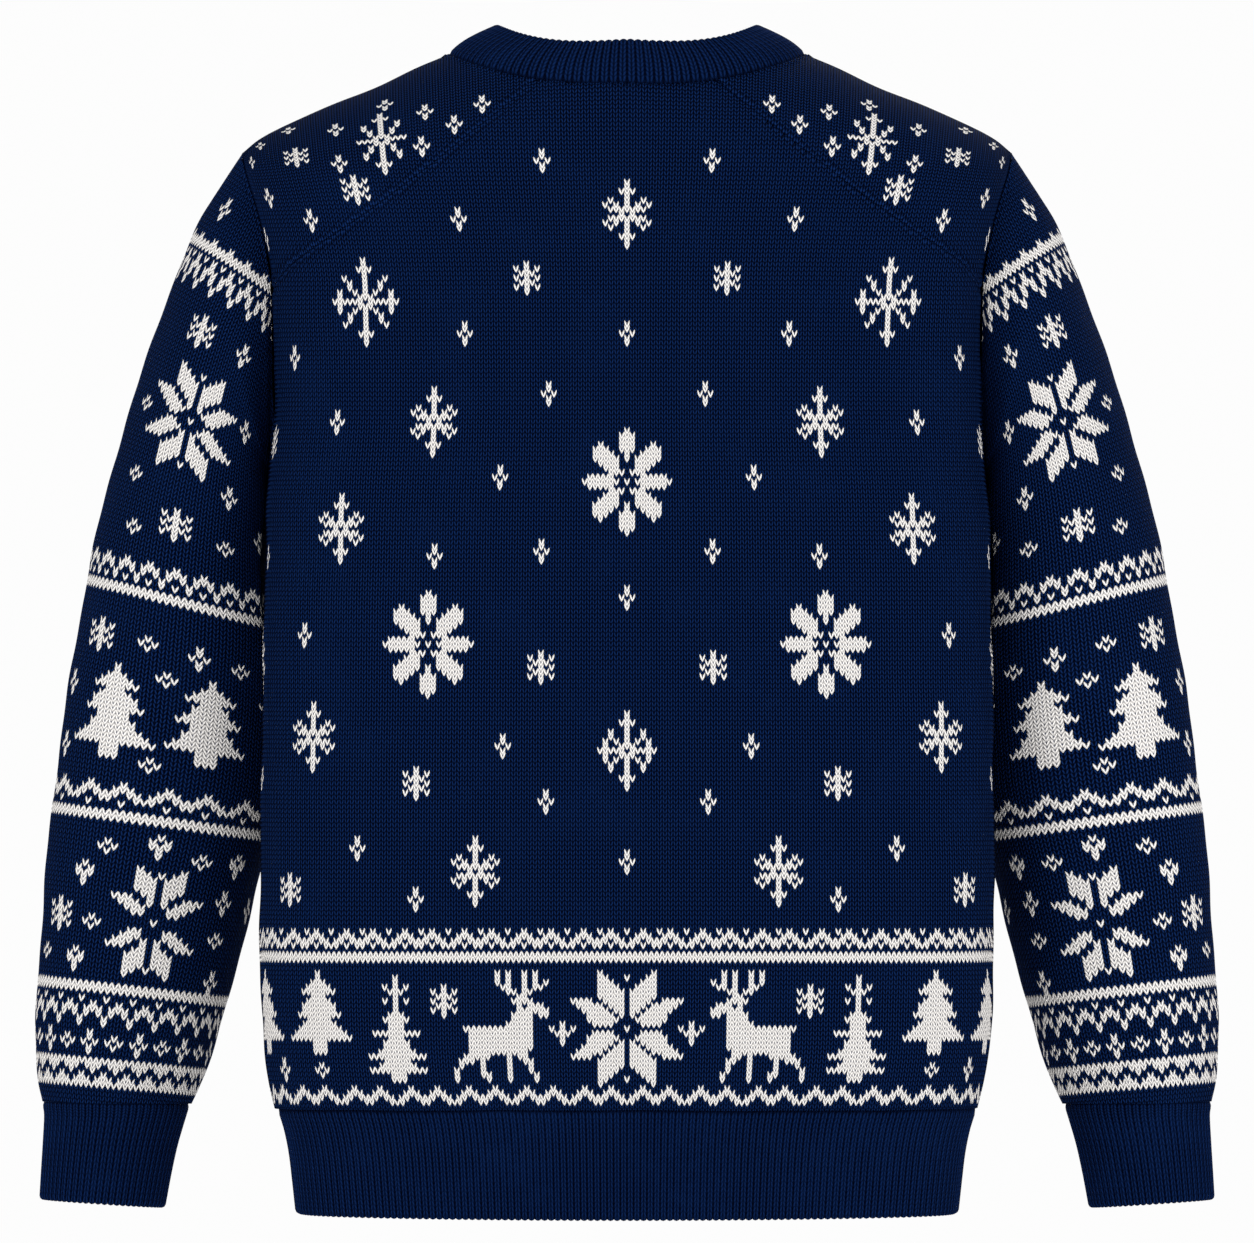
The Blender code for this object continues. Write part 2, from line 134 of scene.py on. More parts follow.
TORSO = (
    TorsoRow(-0.6180, 0.2060, 0.0900, 0.1010),
    TorsoRow(-0.6043, 0.2090, 0.0935, 0.1060),
    TorsoRow(-0.5750, 0.2130, 0.0965, 0.1110),
    TorsoRow(-0.4961, 0.2150, 0.0970, 0.1160),
    TorsoRow(-0.3364, 0.2132, 0.0975, 0.1200),
    TorsoRow(-0.2738, 0.2115, 0.0980, 0.1190),
    TorsoRow(-0.2036, 0.2068, 0.0985, 0.1150),
    TorsoRow(-0.1392, 0.2085, 0.0970, 0.1080),
    TorsoRow(-0.1030, 0.2145, 0.0920, 0.1030),
    TorsoRow(-0.0575, 0.2264, 0.0820, 0.0940),
    TorsoRow(0.0000, 0.2330, 0.0660, 0.0780),
    TorsoRow(0.0500, 0.2350, 0.0500, 0.0600),
)
SHOULDER_LINE = (
    ShoulderPoint(0.0000, 0.0330),
    ShoulderPoint(0.0500, 0.0220),
    ShoulderPoint(0.1040, 0.0000),
    ShoulderPoint(0.1448, -0.0172),
    ShoulderPoint(0.1700, -0.0284),
    ShoulderPoint(0.2039, -0.0436),
    ShoulderPoint(0.2165, -0.0503),
    ShoulderPoint(0.2254, -0.0575),
)
ARMHOLE = (
    ArmholeRow(-0.2380, 1.000, 1.000),
    ArmholeRow(-0.2240, 0.962, 0.930),
    ArmholeRow(-0.2036, 0.926, 0.870),
    ArmholeRow(-0.1700, 0.892, 0.826),
    ArmholeRow(-0.1390, 0.877, 0.815),
    ArmholeRow(-0.1000, 0.877, 0.855),
    ArmholeRow(-0.0750, 0.877, 0.900),
    ArmholeRow(-0.0575, 0.877, 0.944),
)
SLEEVE_RINGS = (
    SleeveRing(0.2433, -0.0844, 0.2105, -0.2430, -0.002, 0.0600),
    SleeveRing(0.2577, -0.1121, 0.2105, -0.2490, -0.008, 0.0640),
    SleeveRing(0.2788, -0.1685, 0.2080, -0.2620, -0.018, 0.0660),
    SleeveRing(0.2980, -0.2250, 0.2050, -0.2830, -0.030, 0.0655),
    SleeveRing(0.3130, -0.2830, 0.2015, -0.3150, -0.040, 0.0640),
    SleeveRing(0.3226, -0.3323, 0.1995, -0.3520, -0.048, 0.0620),
    SleeveRing(0.3302, -0.3800, 0.2000, -0.3940, -0.054, 0.0595),
    SleeveRing(0.3373, -0.4317, 0.2060, -0.4430, -0.058, 0.0565),
    SleeveRing(0.3430, -0.4860, 0.2200, -0.4970, -0.061, 0.0525),
    SleeveRing(0.3472, -0.5429, 0.2345, -0.5530, -0.063, 0.0480),
    SleeveRing(0.3488, -0.5800, 0.2445, -0.5870, -0.064, 0.0450),
    SleeveRing(0.3480, -0.6010, 0.2515, -0.6050, -0.065, 0.0420),
    SleeveRing(0.3448, -0.6161, 0.2575, -0.6171, -0.065, 0.0385),
)
CUFF_RINGS = (
    SleeveRing(0.3441, -0.6158, 0.2585, -0.6168, -0.065, 0.0377),
    SleeveRing(0.3428, -0.6240, 0.2612, -0.6255, -0.065, 0.0350),
    SleeveRing(0.3436, -0.6400, 0.2660, -0.6420, -0.065, 0.0335),
    SleeveRing(0.3446, -0.6560, 0.2697, -0.6590, -0.065, 0.0328),
    SleeveRing(0.3455, -0.6712, 0.2729, -0.6762, -0.065, 0.0325),
)
HEM_RIB = (
    RibRow(0.000, 0.2046, 0.0885, 0.0990),
    RibRow(0.160, 0.2008, 0.0855, 0.0955),
    RibRow(0.450, 0.1972, 0.0832, 0.0930),
    RibRow(0.720, 0.1953, 0.0822, 0.0920),
    RibRow(1.000, 0.1935, 0.0818, 0.0915),
)
BAND_LEAN = (
    BandLean(0.00, 0.00, -0.0130, 0.0245),
    BandLean(0.50, -0.0270, 0.0000, 0.0164),
    BandLean(1.00, 0.00, 0.0160, 0.0225),
)


def column(table: tuple[Any, ...], name: str) -> Array:
    """One named column of a table.

    Args:
        table: rows of named values.
        name: the column's name.

    Returns:
        The column's values, in order.
    """
    return np.array([getattr(row, name) for row in table], dtype=float)


def smooth_table(at: Array | float, places: Array, values: Array) -> Array:
    """Read a smooth curve through a table's points.

    Args:
        at: where to read it.
        places: the table's places, rising.
        values: the table's values there.

    Returns:
        The curve's values, held level past both ends.
    """
    steps = np.diff(places)
    rises = np.diff(values) / steps
    slopes = np.empty_like(values)
    total = rises[:-1] + rises[1:]
    mean = 2.0 * rises[:-1] * rises[1:] / np.where(total == 0.0, 1.0, total)
    slopes[1:-1] = np.where(rises[:-1] * rises[1:] > 0.0, mean, 0.0)
    slopes[0], slopes[-1] = rises[0], rises[-1]
    at = np.clip(at, places[0], places[-1])
    low = np.clip(np.searchsorted(places, at, side="right") - 1, 0, len(places) - 2)
    step = steps[low]
    t = (at - places[low]) / step
    start = (1.0 + 2.0 * t) * (1.0 - t) ** 2 * values[low]
    leave = t * (1.0 - t) ** 2 * step * slopes[low]
    end = t * t * (3.0 - 2.0 * t) * values[low + 1]
    arrive = t * t * (t - 1.0) * step * slopes[low + 1]
    return start + leave + end + arrive


def ease(value: Array | float, low: float, high: float) -> Array:
    """A smooth step from 0 at low to 1 at high."""
    t = np.clip((np.asarray(value, dtype=float) - low) / (high - low), 0.0, 1.0)
    return t * t * (3.0 - 2.0 * t)


# ------------------------------------------------------------------------------------------ the form


class PanelShape(NamedTuple):
    """What differs between the back and the front."""

    power: float  # how square a level section is
    flatness: float  # its depth against its width, where lengths along it are measured
    neck_steps: int  # steps of the neck seam's quarter that the panel takes
    raglan_bow: float  # how far the raglan seam bows below a straight line
    neck_drop: float
    neck_square: float
    neck_bow: float


PANEL_SHAPES = {
    Side.BACK: PanelShape(4.0, 0.45, 4, 0.0135, 0.0181, 2.6, 1.0),
    Side.FRONT: PanelShape(2.3, 0.55, 7, 0.0080, 0.0850, 2.3, 0.62),
}


@dataclass(frozen=True)
class TorsoForm:
    """The torso's surface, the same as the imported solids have.

    u runs round a level section, from 0 at the centre to 1 at the side seam, by its share of the
    length. Below the shoulder line the surface bends over in a quarter round.
    """

    side_y: float = 0.015
    shoulder_y: float = 0.0
    shoulder_bend: float = 0.070
    hem_z: float = -0.618
    underarm_z: float = -0.238
    raglan_foot_z: float = -0.139
    neck_half: float = 0.104
    shoulder_tip: float = 0.2254
    neck_steps: int = 12
    arm_clearance: float = 0.0025
    tip_share: float = 0.12  # the part of the armhole that is drawn to the shoulder's tip

    def power(self, side: Side) -> float:
        """How square the section is behind or in front."""
        return PANEL_SHAPES[side].power

    def panel_steps(self, side: Side) -> int:
        """Steps of the neck seam's quarter that the back or front panel takes."""
        return PANEL_SHAPES[side].neck_steps

    def section(self, side: Side) -> tuple[Array, Array, Array]:
        """Length, width and depth shares along a quarter section of unit half-width."""
        turn = np.linspace(0.0, math.pi / 2.0, 721)
        width = np.sin(turn) ** (2.0 / self.power(side))
        deep = np.cos(turn) ** (2.0 / self.power(side))
        steps = np.hypot(np.diff(width), np.diff(deep) * PANEL_SHAPES[side].flatness)
        length = np.concatenate(([0.0], np.cumsum(steps)))
        return length / length[-1], width, deep

    def half_width(self, z: Array) -> Array:
        """Half the torso's width at a height."""
        return smooth_table(z, column(TORSO, "z"), column(TORSO, "half_width"))

    def depth(self, z: Array, side: Side) -> Array:
        """Depth of the back or front from the plane of the side seams."""
        name = "back_depth" if side is Side.BACK else "front_depth"
        return smooth_table(z, column(TORSO, "z"), column(TORSO, name))

    def shoulder_z(self, x: Array) -> Array:
        """Height of the shoulder line at a distance from the middle."""
        return smooth_table(np.abs(x), column(SHOULDER_LINE, "x"), column(SHOULDER_LINE, "z"))

    def bend_turn(self, drop: Array) -> Array:
        """Angle of the shoulder's bend at a drop below the shoulder line, and past it a length."""
        share = np.maximum(drop, 0.0) / self.shoulder_bend
        inside = np.arccos(1.0 - np.minimum(share, 1.0))
        return np.where(share < 1.0, inside, math.pi / 2.0 + share - 1.0)

    def bend_drop(self, turn: Array) -> Array:
        """Drop below the shoulder line at an angle of its bend."""
        half = math.pi / 2.0
        share = np.where(turn < half, 1.0 - np.cos(turn), 1.0 + turn - half)
        return share * self.shoulder_bend

    def place_at(self, x: Array, z: Array, side: Side) -> Array:
        """Place round the section of a point at this x and height."""
        length, width, _ = self.section(side)
        return np.interp(np.minimum(np.abs(x) / self.half_width(z), 1.0), width, length)

    def point(self, u: Array, z: Array, side: Side) -> Array:
        """Points of the torso's near half.

        Args:
            u: places round the section.
            z: heights.
            side: back or front.

        Returns:
            The points, one a row.
        """
        length, width, deep = self.section(side)
        x = self.half_width(z) * np.interp(u, length, width)
        y = self.side_y + side.value * self.depth(z, side) * np.interp(u, length, deep)
        bend = np.sin(np.clip(self.bend_turn(self.shoulder_z(x) - z), 0.0, math.pi / 2.0))
        y = self.shoulder_y + (y - self.shoulder_y) * bend
        return np.stack((x, y, z * np.ones_like(x)), axis=-1)

    def neck_x(self, step: Array | float) -> Array:
        """Distance from the middle of a step round the neck seam's quarter."""
        return self.neck_half * np.sin(math.pi / 2.0 * np.asarray(step, float) / self.neck_steps)

    def neck_z(self, x: Array, side: Side) -> Array:
        """Height of the neck seam, behind or in front."""
        shape = PANEL_SHAPES[side]
        across = np.minimum(np.abs(x) / self.neck_half, 1.0)
        return -shape.neck_drop * (1.0 - across**shape.neck_square) ** shape.neck_bow

    def armhole_u(self, z: Array, side: Side) -> Array:
        """Place round the section where the armhole lies."""
        return smooth_table(z, column(ARMHOLE, "z"), column(ARMHOLE, side.name.lower()))

    def raglan_at(self, share: Array, side: Side) -> tuple[Array, Array]:
        """u and z of a raglan seam, from its top (0) to its foot (1)."""
        top_x = self.neck_x(self.panel_steps(side))
        top_z = self.neck_z(top_x, side)
        top_u = self.place_at(top_x, top_z, side)
        foot_u = self.armhole_u(np.array(self.raglan_foot_z), side)
        bow = PANEL_SHAPES[side].raglan_bow
        u = top_u + (foot_u - top_u) * share
        z = top_z + (self.raglan_foot_z - top_z) * share - bow * 4.0 * share * (1.0 - share)
        return u, z

    def armhole_upper(self, share: Array, side: Side) -> Array:
        """Points of the armhole from the shoulder's tip (0) to the raglan seam's foot (1)."""
        foot_z = np.array([self.raglan_foot_z])
        foot = self.point(self.armhole_u(foot_z, side), foot_z, side)
        foot_turn = float(self.bend_turn(self.shoulder_z(foot[0, 0]) - self.raglan_foot_z))
        z = np.full(np.shape(share), float(self.shoulder_z(self.shoulder_tip)))
        length, width, _ = self.section(side)
        for _ in range(12):
            x = self.half_width(z) * np.interp(self.armhole_u(z, side), length, width)
            z = self.shoulder_z(x) - self.bend_drop(foot_turn * share)
        points = self.point(self.armhole_u(z, side), z, side)
        tip = np.array((self.shoulder_tip, 0.0, float(self.shoulder_z(self.shoulder_tip))))
        near = (1.0 - ease(share, 0.0, self.tip_share))[:, None]
        return points * (1.0 - near) + tip * near

    def armhole_lower(self, share: Array, side: Side) -> Array:
        """Points of the armhole from the raglan seam's foot (0) down to the underarm (1)."""
        z = self.raglan_foot_z + (self.underarm_z - self.raglan_foot_z) * share
        return self.point(self.armhole_u(z, side), z, side)

    def side_wall(self, y: Array, z: Array) -> Array:
        """How far out the torso's side reaches at a depth and height."""
        wall = np.zeros(np.shape(y))
        for side in Side:
            across = np.minimum(np.abs(y - self.side_y) / self.depth(z, side), 1.0)
            reach = self.half_width(z) * (1.0 - across ** self.power(side)) ** (1.0 / self.power(side))
            wall = np.where((y - self.side_y) * side.value > 0.0, reach, wall)
        return wall


FORM = TorsoForm()


# ------------------------------------------------------------------------------ stitches and fields


@dataclass(frozen=True)
class Gauge:
    """How big a stitch is, and how many there are."""

    half_wales: int = 88  # from the centre of the back or front to its side seam
    course: float = 0.0027
    sleeve_half_wales: int = 44  # half way round a sleeve
    sleeve_course: float = 0.00285
    lean: float = 0.95  # how far a stitch's two legs fall to its middle, in courses


GAUGE = Gauge()


def leg_place(wale: Array) -> Array:
    """1 at the middle of a wale and 0 at its edges."""
    part = np.mod(wale, 1.0)
    return 1.0 - np.abs(2.0 * part - 1.0)


@dataclass(frozen=True)
class Fold:
    """A soft trough (or, with a negative depth, a ridge) between two points of the cloth."""

    start: tuple[float, float, float]
    end: tuple[float, float, float]
    width: float
    depth: float

    def offset(self, points: Array) -> Array:
        """How far the cloth moves out along its normal at each point."""
        start, end = np.array(self.start), np.array(self.end)
        way = end - start
        along = np.clip((points - start) @ way / (way @ way), 0.0, 1.0)
        away = np.linalg.norm(points - start - along[:, None] * way, axis=1)
        fade = ease(along, 0.0, 0.3) * (1.0 - ease(along, 0.6, 1.0))
        return -self.depth * np.exp(-((away / self.width) ** 2)) * (0.25 + 0.75 * fade)


class StitchField(ABC):
    """Turns places in stitches into points of the cloth."""

    @abstractmethod
    def place(self, wale: Array, course: Array) -> Array:
        """Points of the cloth at these wales and courses."""

    def normal(self, wale: Array, course: Array) -> Array:
        """Unit normals of the cloth there, all on one side of it."""
        across = self.place(wale + 0.6, course) - self.place(wale - 0.6, course)
        along = self.place(wale, course + 0.6) - self.place(wale, course - 0.6)
        out = np.cross(across, along)
        return out / np.maximum(np.linalg.norm(out, axis=1), 1e-12)[:, None]


def mirrored(points: Array, sign: Array) -> Array:
    """The points, with x turned over where the sign is -1."""
    return points * np.stack((sign, np.ones_like(sign), np.ones_like(sign)), axis=1)


def ring_points(ring: SleeveRing, angle: Array) -> Array:
    """Points round a slanted section, from its outermost point round by the back."""
    x = (ring.outer_x + ring.inner_x) / 2.0 + (ring.outer_x - ring.inner_x) / 2.0 * np.cos(angle)
    z = (ring.outer_z + ring.inner_z) / 2.0 + (ring.outer_z - ring.inner_z) / 2.0 * np.cos(angle)
    y = ring.mid_y + ring.half_depth * np.sin(angle)
    return np.stack((x, y, z), axis=1)


def read_table(table: Array, row: Array, step: Array) -> Array:
    """Read a table of points between its rows and steps.

    Args:
        table: points, by row and step.
        row: rows to read, with parts of a row.
        step: steps to read, with parts of a step.

    Returns:
        The points there.
    """
    short_of_end = 1.000001
    row = np.clip(row, 0.0, table.shape[0] - short_of_end)
    step = np.clip(step, 0.0, table.shape[1] - short_of_end)
    i, j = row.astype(int), step.astype(int)
    a, b = (row - i)[:, None], (step - j)[:, None]
    low = table[i, j] * (1.0 - b) + table[i, j + 1] * b
    high = table[i + 1, j] * (1.0 - b) + table[i + 1, j + 1] * b
    return low * (1.0 - a) + high * a


def even_steps(line: Array, step: float, count: int) -> tuple[Array, float]:
    """Divide a line of points evenly.

    Args:
        line: the points.
        step: the length between two new points.
        count: how many new points to give; those past the line's end lie on its end.

    Returns:
        The new points, and the line's length.
    """
    length = np.concatenate(([0.0], np.cumsum(np.linalg.norm(np.diff(line, axis=0), axis=1))))
    at = np.arange(count) * step
    return np.stack([np.interp(at, length, line[:, k]) for k in range(3)], axis=1), float(length[-1])


class TorsoField(StitchField):
    """The stitches of the back or front, from the hem seam up to the shoulder line."""

    rows_per_wale = 2
    step = 0.0009
    places = 860  # along a wale
    flat_places = 320  # below the shoulder's bend
    bend_places = 90

    def __init__(self, side: Side) -> None:
        """Lay the wales out on one half; the other is its mirror image."""
        self.side = side
        rows = GAUGE.half_wales * self.rows_per_wale + 1
        u = np.linspace(0.0, 1.0, rows)
        self.table = np.zeros((rows, self.places, 3))
        self.tops = np.zeros(rows)
        length, width, _ = FORM.section(side)
        share = np.interp(u, length, width)
        top = np.zeros(rows)
        for _ in range(30):
            top = FORM.shoulder_z(FORM.half_width(top) * share)
        turns = np.linspace(math.pi / 2.0, 0.0, self.bend_places)
        for row in range(rows):
            bend = top[row] - FORM.shoulder_bend * (1.0 - np.cos(turns))
            flat = np.linspace(FORM.hem_z, bend[0], self.flat_places)
            z = np.concatenate((flat[:-1], bend))
            line = FORM.point(np.full(z.shape, u[row]), z, side)
            self.table[row], self.tops[row] = even_steps(line, self.step, self.places)
        self.tops /= GAUGE.course

    def place(self, wale: Array, course: Array) -> Array:
        """Points of the cloth at these wales and courses; the centre line runs up the middle of wale 0."""
        across = wale - 0.5
        rows = np.abs(across) * self.rows_per_wale
        points = read_table(self.table, rows, course * GAUGE.course / self.step)
        return mirrored(points, np.where(across < 0.0, -1.0, 1.0))

    def stitch_at(self, u: Array, z: Array) -> Array:
        """Wale and course of a place of the form, one pair a row."""
        rows = np.asarray(u) * (self.table.shape[0] - 1)
        out = []
        for row, height in zip(rows, np.asarray(z)):
            low = min(int(row), self.table.shape[0] - 2)
            part = row - low
            heights = self.table[low, :, 2] * (1.0 - part) + self.table[low + 1, :, 2] * part
            top = self.tops[low] * (1.0 - part) + self.tops[low + 1] * part
            course = np.interp(height, heights, np.arange(len(heights))) * self.step / GAUGE.course
            out.append((row / self.rows_per_wale + 0.5, min(course, top)))
        return np.array(out)


class Slant(NamedTuple):
    """How far a sleeve's inner stitches sit below its outer ones of the same course."""

    course: int
    drop: float


SLANTS: tuple[Slant, ...] = (
    Slant(0, 0.0060),
    Slant(20, 0.0080),
    Slant(57, 0.0095),
    Slant(106, 0.0210),
    Slant(140, 0.0310),
    Slant(178, 0.0450),
    Slant(230, 0.0640),
)


class SleeveField(StitchField):
    """The stitches of the left sleeve, from the cuff up to the armhole; wale 0 is the outermost."""

    rows_per_wale = 2
    step = 0.0012
    places = 560  # along a wale
    parts = 24  # from one ring to the next
    lower_steps = 6  # of the armhole, below the raglan seam's foot
    clear_below = -0.06  # height under which the sleeve is kept clear of the torso

    def __init__(self) -> None:
        """Lay each wale through the sleeve's rings, from the cuff to the armhole."""
        half = GAUGE.sleeve_half_wales
        rows = 2 * half * self.rows_per_wale + 1
        self.wales = np.linspace(-half, half, rows)
        self.share = np.mod(self.wales / (2.0 * half), 1.0)
        stations = np.stack([self.ring(ring) for ring in reversed(SLEEVE_RINGS)] + [self.armhole()])
        dense = self.clear(self.through(stations))
        self.table = np.zeros((rows, self.places, 3))
        self.tops = np.zeros(rows)
        for row in range(rows):
            self.table[row], self.tops[row] = even_steps(dense[:, row], self.step, self.places)
        self.ends = self.courses_at(self.tops)
        self.foot = self.courses_at(np.zeros(rows))

    def drop(self, share: Array, course: Array) -> Array:
        """How far down its wale a stitch lies, for its course."""
        fall = smooth_table(course, column(SLANTS, "course"), column(SLANTS, "drop"))
        return fall * (1.0 - np.cos(2.0 * math.pi * share)) / 2.0

    def courses_at(self, length: Array) -> Array:
        """The course that lies a length up each row's wale."""
        course = length / GAUGE.sleeve_course
        for _ in range(25):
            course = (length + self.drop(self.share, course)) / GAUGE.sleeve_course
        return course

    def ring(self, ring: SleeveRing) -> Array:
        """Points of one ring, on every row of the table."""
        return ring_points(ring, 2.0 * math.pi * self.share)

    def armhole(self) -> Array:
        """Points of the armhole, on every row of the table."""
        points = np.zeros((len(self.share), 3))
        for side in Side:
            mine = self.share <= 0.5 if side is Side.BACK else self.share > 0.5
            around = self.share[mine] if side is Side.BACK else 1.0 - self.share[mine]
            upper = FORM.neck_steps - FORM.panel_steps(side)
            steps = around * 2.0 * (upper + self.lower_steps)
            top = FORM.armhole_upper(np.clip(steps / upper, 0.0, 1.0), side)
            low = FORM.armhole_lower(np.clip((steps - upper) / self.lower_steps, 0.0, 1.0), side)
            points[mine] = np.where((steps <= upper)[:, None], top, low)
        return points

    def through(self, stations: Array) -> Array:
        """A smooth line on every row, through that row's point of each station."""
        before = 2.0 * stations[:1] - stations[1:2]
        after = 2.0 * stations[-1:] - stations[-2:-1]
        padded = np.concatenate((before, stations, after))
        line = []
        for k in range(len(stations) - 1):
            a, b, c, d = padded[k : k + 4]
            for part in np.arange(self.parts) / self.parts:
                line.append(
                    b
                    + 0.5 * part * (c - a)
                    + part**2 * (a - 2.5 * b + 2.0 * c - 0.5 * d)
                    + 0.5 * part**3 * (3.0 * (b - c) + d - a)
                )
        return np.array(line + [stations[-1]])

    def clear(self, dense: Array) -> Array:
        """Keep the sleeve just outside the torso's side."""
        flat = dense.reshape(-1, 3).copy()
        rows = np.repeat(np.arange(len(dense)), dense.shape[1])
        share = np.clip((len(dense) - 1 - rows) / (2.0 * self.parts), 0.0, 1.0)
        least = FORM.side_wall(flat[:, 1], flat[:, 2]) + FORM.arm_clearance * share
        flat[:, 0] = np.where(flat[:, 2] < self.clear_below, np.maximum(flat[:, 0], least), flat[:, 0])
        return flat.reshape(dense.shape)

    def place(self, wale: Array, course: Array) -> Array:
        """Points of the cloth at these wales and courses."""
        turned = np.mod(wale + GAUGE.sleeve_half_wales, 2.0 * GAUGE.sleeve_half_wales)
        rows = turned * self.rows_per_wale
        share = turned / (2.0 * GAUGE.sleeve_half_wales) - 0.5
        up = course * GAUGE.sleeve_course - self.drop(share, course)
        return read_table(self.table, rows, up / self.step)


# -------------------------------------------------------------------------------------------- charts


class Chart:
    """A motif in stitches; # is a white stitch."""

    def __init__(self, *rows: str) -> None:
        """Keep the chart's rows, from the top."""
        self.rows = [list(row) for row in rows]

    @classmethod
    def quartered(cls, *rows: str) -> Chart:
        """A chart from its upper left quarter, whose last row and column are the middle ones."""
        half = [row + row[-2::-1] for row in rows]
        return cls(*half, *half[-2::-1])

    @classmethod
    def halved(cls, *rows: str) -> Chart:
        """A chart from its left half, whose last column is the middle one."""
        return cls(*[row + row[-2::-1] for row in rows])

    def stitches(self) -> Array:
        """The chart as wales by courses, its first course at the foot."""
        return np.array([[mark == "#" for mark in row] for row in reversed(self.rows)]).T


PLUS = Chart(".#.", ".#.", "#.#", ".#.", ".#.")
SMALL_PLUS = Chart(".#.", "#.#", ".#.")
CROSS = Chart("..#..", "#.#.#", ".###.", "..#..", "..#..")
FULL_PLUS = Chart(".#.", "#.#", "###", ".#.", ".#.")
SMALL_STAR = Chart.quartered("..#", "#.#", ".##", "#.#")
SHOULDER_STAR = Chart.quartered(
    "....#", "....#", "...##", "....#", ".#..#", ".#..#", "..#.#", "..#.#", "...##", "####."
)
SIX_ARMS = Chart.quartered("....#", "....#", "...##", "....#", ".#..#", "#.#.#", ".####", "...#.")
EIGHT_ARMS = Chart.quartered(
    ".....#", ".....#", "....##", ".....#", "..#..#", "..#..#", ".#.#.#", ".#..##", "#####."
)
EIGHT_LONG_ARMS = Chart.quartered(
    "......#", "......#", ".....##", "......#", "..#...#",
    "...#..#", "...#..#", ".#..#.#", ".#...##", "######.",
)
FLOWER = Chart.quartered(
    "........#",
    ".......##",
    ".......##",
    "...#...##",
    "..###..##",
    "..####..#",
    "..#####.#",
    "...####..",
    "....###..",
    ".....###.",
    ".#####...",
    "#######.#",
)
BIG_STAR = Chart.quartered(
    ".....#.....",
    ".....##...#",
    ".....###...",
    ".....####..",
    ".....#####.",
    ".....#####.",
    "####..####.",
    ".#####.###.",
    "..#####.##.",
    "...#####.#.",
    "...######..",
    "....####...",
    "..........#",
)
SLEEVE_STAR = Chart.quartered(
    "....#....",
    "....##..#",
    "....###..",
    "....####.",
    "....####.",
    ".....###.",
    "####..##.",
    ".####..#.",
    "..####.#.",
    "...####..",
    "....##...",
    "........#",
)
TREE = Chart.halved(
    "......#",
    "......#",
    ".....##",
    "....###",
    "...####",
    ".....##",
    "....###",
    "...####",
    "...####",
    "..#####",
    "....###",
    "...####",
    "..#####",
    ".######",
    "#######",
    ".....##",
    ".....##",
    ".....##",
)
LOWER_STAR = Chart.quartered(
    "...#...",
    "...##.#",
    "...###.",
    "...###.",
    "...###.",
    "....##.",
    "###..#.",
    ".###.#.",
    "..###..",
    "...##..",
    ".......",
    "......#",
)
NARROW_TREE = Chart.halved(
    ".....#",
    ".....#",
    "....##",
    "...###",
    "..####",
    "....##",
    "...###",
    "...###",
    "..####",
    ".#####",
    "...###",
    "...###",
    "..####",
    "..####",
    ".#####",
    "######",
    "....##",
    "....##",
    "....##",
)
SLEEVE_TREE = Chart.halved(
    "......#",
    "......#",
    ".....##",
    "....###",
    "...####",
    ".....##",
    "....###",
    "...####",
    "...####",
    "..#####",
    "....###",
    "....###",
    "...####",
    "...####",
    "..#####",
    ".######",
    "#######",
    ".....##",
    ".....##",
    ".....##",
)
POINTED_TREE = Chart.halved(
    "......#",
    "......#",
    "....#.#",
    ".....##",
    "......#",
    "....#.#",
    "......#",
    "......#",
    ".....##",
    "....###",
    ".....##",
    ".....##",
    "..#####",
    ".....##",
    "....###",
    "....###",
    "...####",
    ".######",
    "....###",
    "...####",
    ".######",
    ".....##",
    ".....##",
)
REINDEER = Chart(
    "........#.#..#.#..",
    "........#.#..#.#..",
    "........#.#..#.#.#",
    ".........##..#.##.",
    "..........##.##...",
    "............##....",
    "...........####...",
    "............#.###.",
    "............######",
    "...........####.##",
    "...........####...",
    "..........#####...",
    "..#############...",
    "...############...",
    "...############...",
    "...############...",
    "...############...",
    "...###########....",
    "..#####...#.##....",
    ".###.#....#..##...",
    ".#...#....#...#...",
    "#....#....#...#...",
    "#....##...#....#..",
    "#.....#...#....#..",
)


class Canvas:
    """The white stitches of one piece, by wale and course."""

    def __init__(self, half_wales: int, courses: int) -> None:
        """Start with plain navy."""
        self.half_wales = half_wales
        self.white = np.zeros((2 * half_wales + 1, courses), dtype=bool)

    def put(self, chart: Chart, wale: int, course: int) -> None:
        """Set a chart with its middle on a wale and its middle course on a course."""
        stitches = chart.stitches()
        first = wale + self.half_wales - stitches.shape[0] // 2
        foot = course - stitches.shape[1] // 2
        for i, line in enumerate(stitches):
            for j, white in enumerate(line):
                if white and 0 <= first + i < self.white.shape[0] and 0 <= foot + j < self.white.shape[1]:
                    self.white[first + i, foot + j] = True

    def band(self, rows: tuple[str, ...], foot: int, shift: int = 0) -> None:
        """Repeat a small chart all the way across.

        Args:
            rows: one repeat of the band, from the top.
            foot: the course of its last row.
            shift: wales by which the repeat moves on.
        """
        wales = np.arange(self.white.shape[0]) - self.half_wales
        for up, row in enumerate(reversed(rows)):
            marks = np.array([mark == "#" for mark in row])
            self.white[:, foot + up] |= marks[np.mod(wales - shift, len(marks))]

    def colour_of(self, wale: Array, course: Array) -> Array:
        """1 where the stitch there is white, else 0."""
        i = np.clip(np.floor(wale).astype(int) + self.half_wales, 0, self.white.shape[0] - 1)
        j = np.clip(np.floor(course).astype(int), 0, self.white.shape[1] - 1)
        return self.white[i, j].astype(np.float32)


# ---------------------------------------------------------------------------------- the patterns


class Spot(NamedTuple):
    """A motif's place: a wale out from the middle, and a course up from the hem seam or cuff."""

    chart: Chart
    wale: int
    course: int


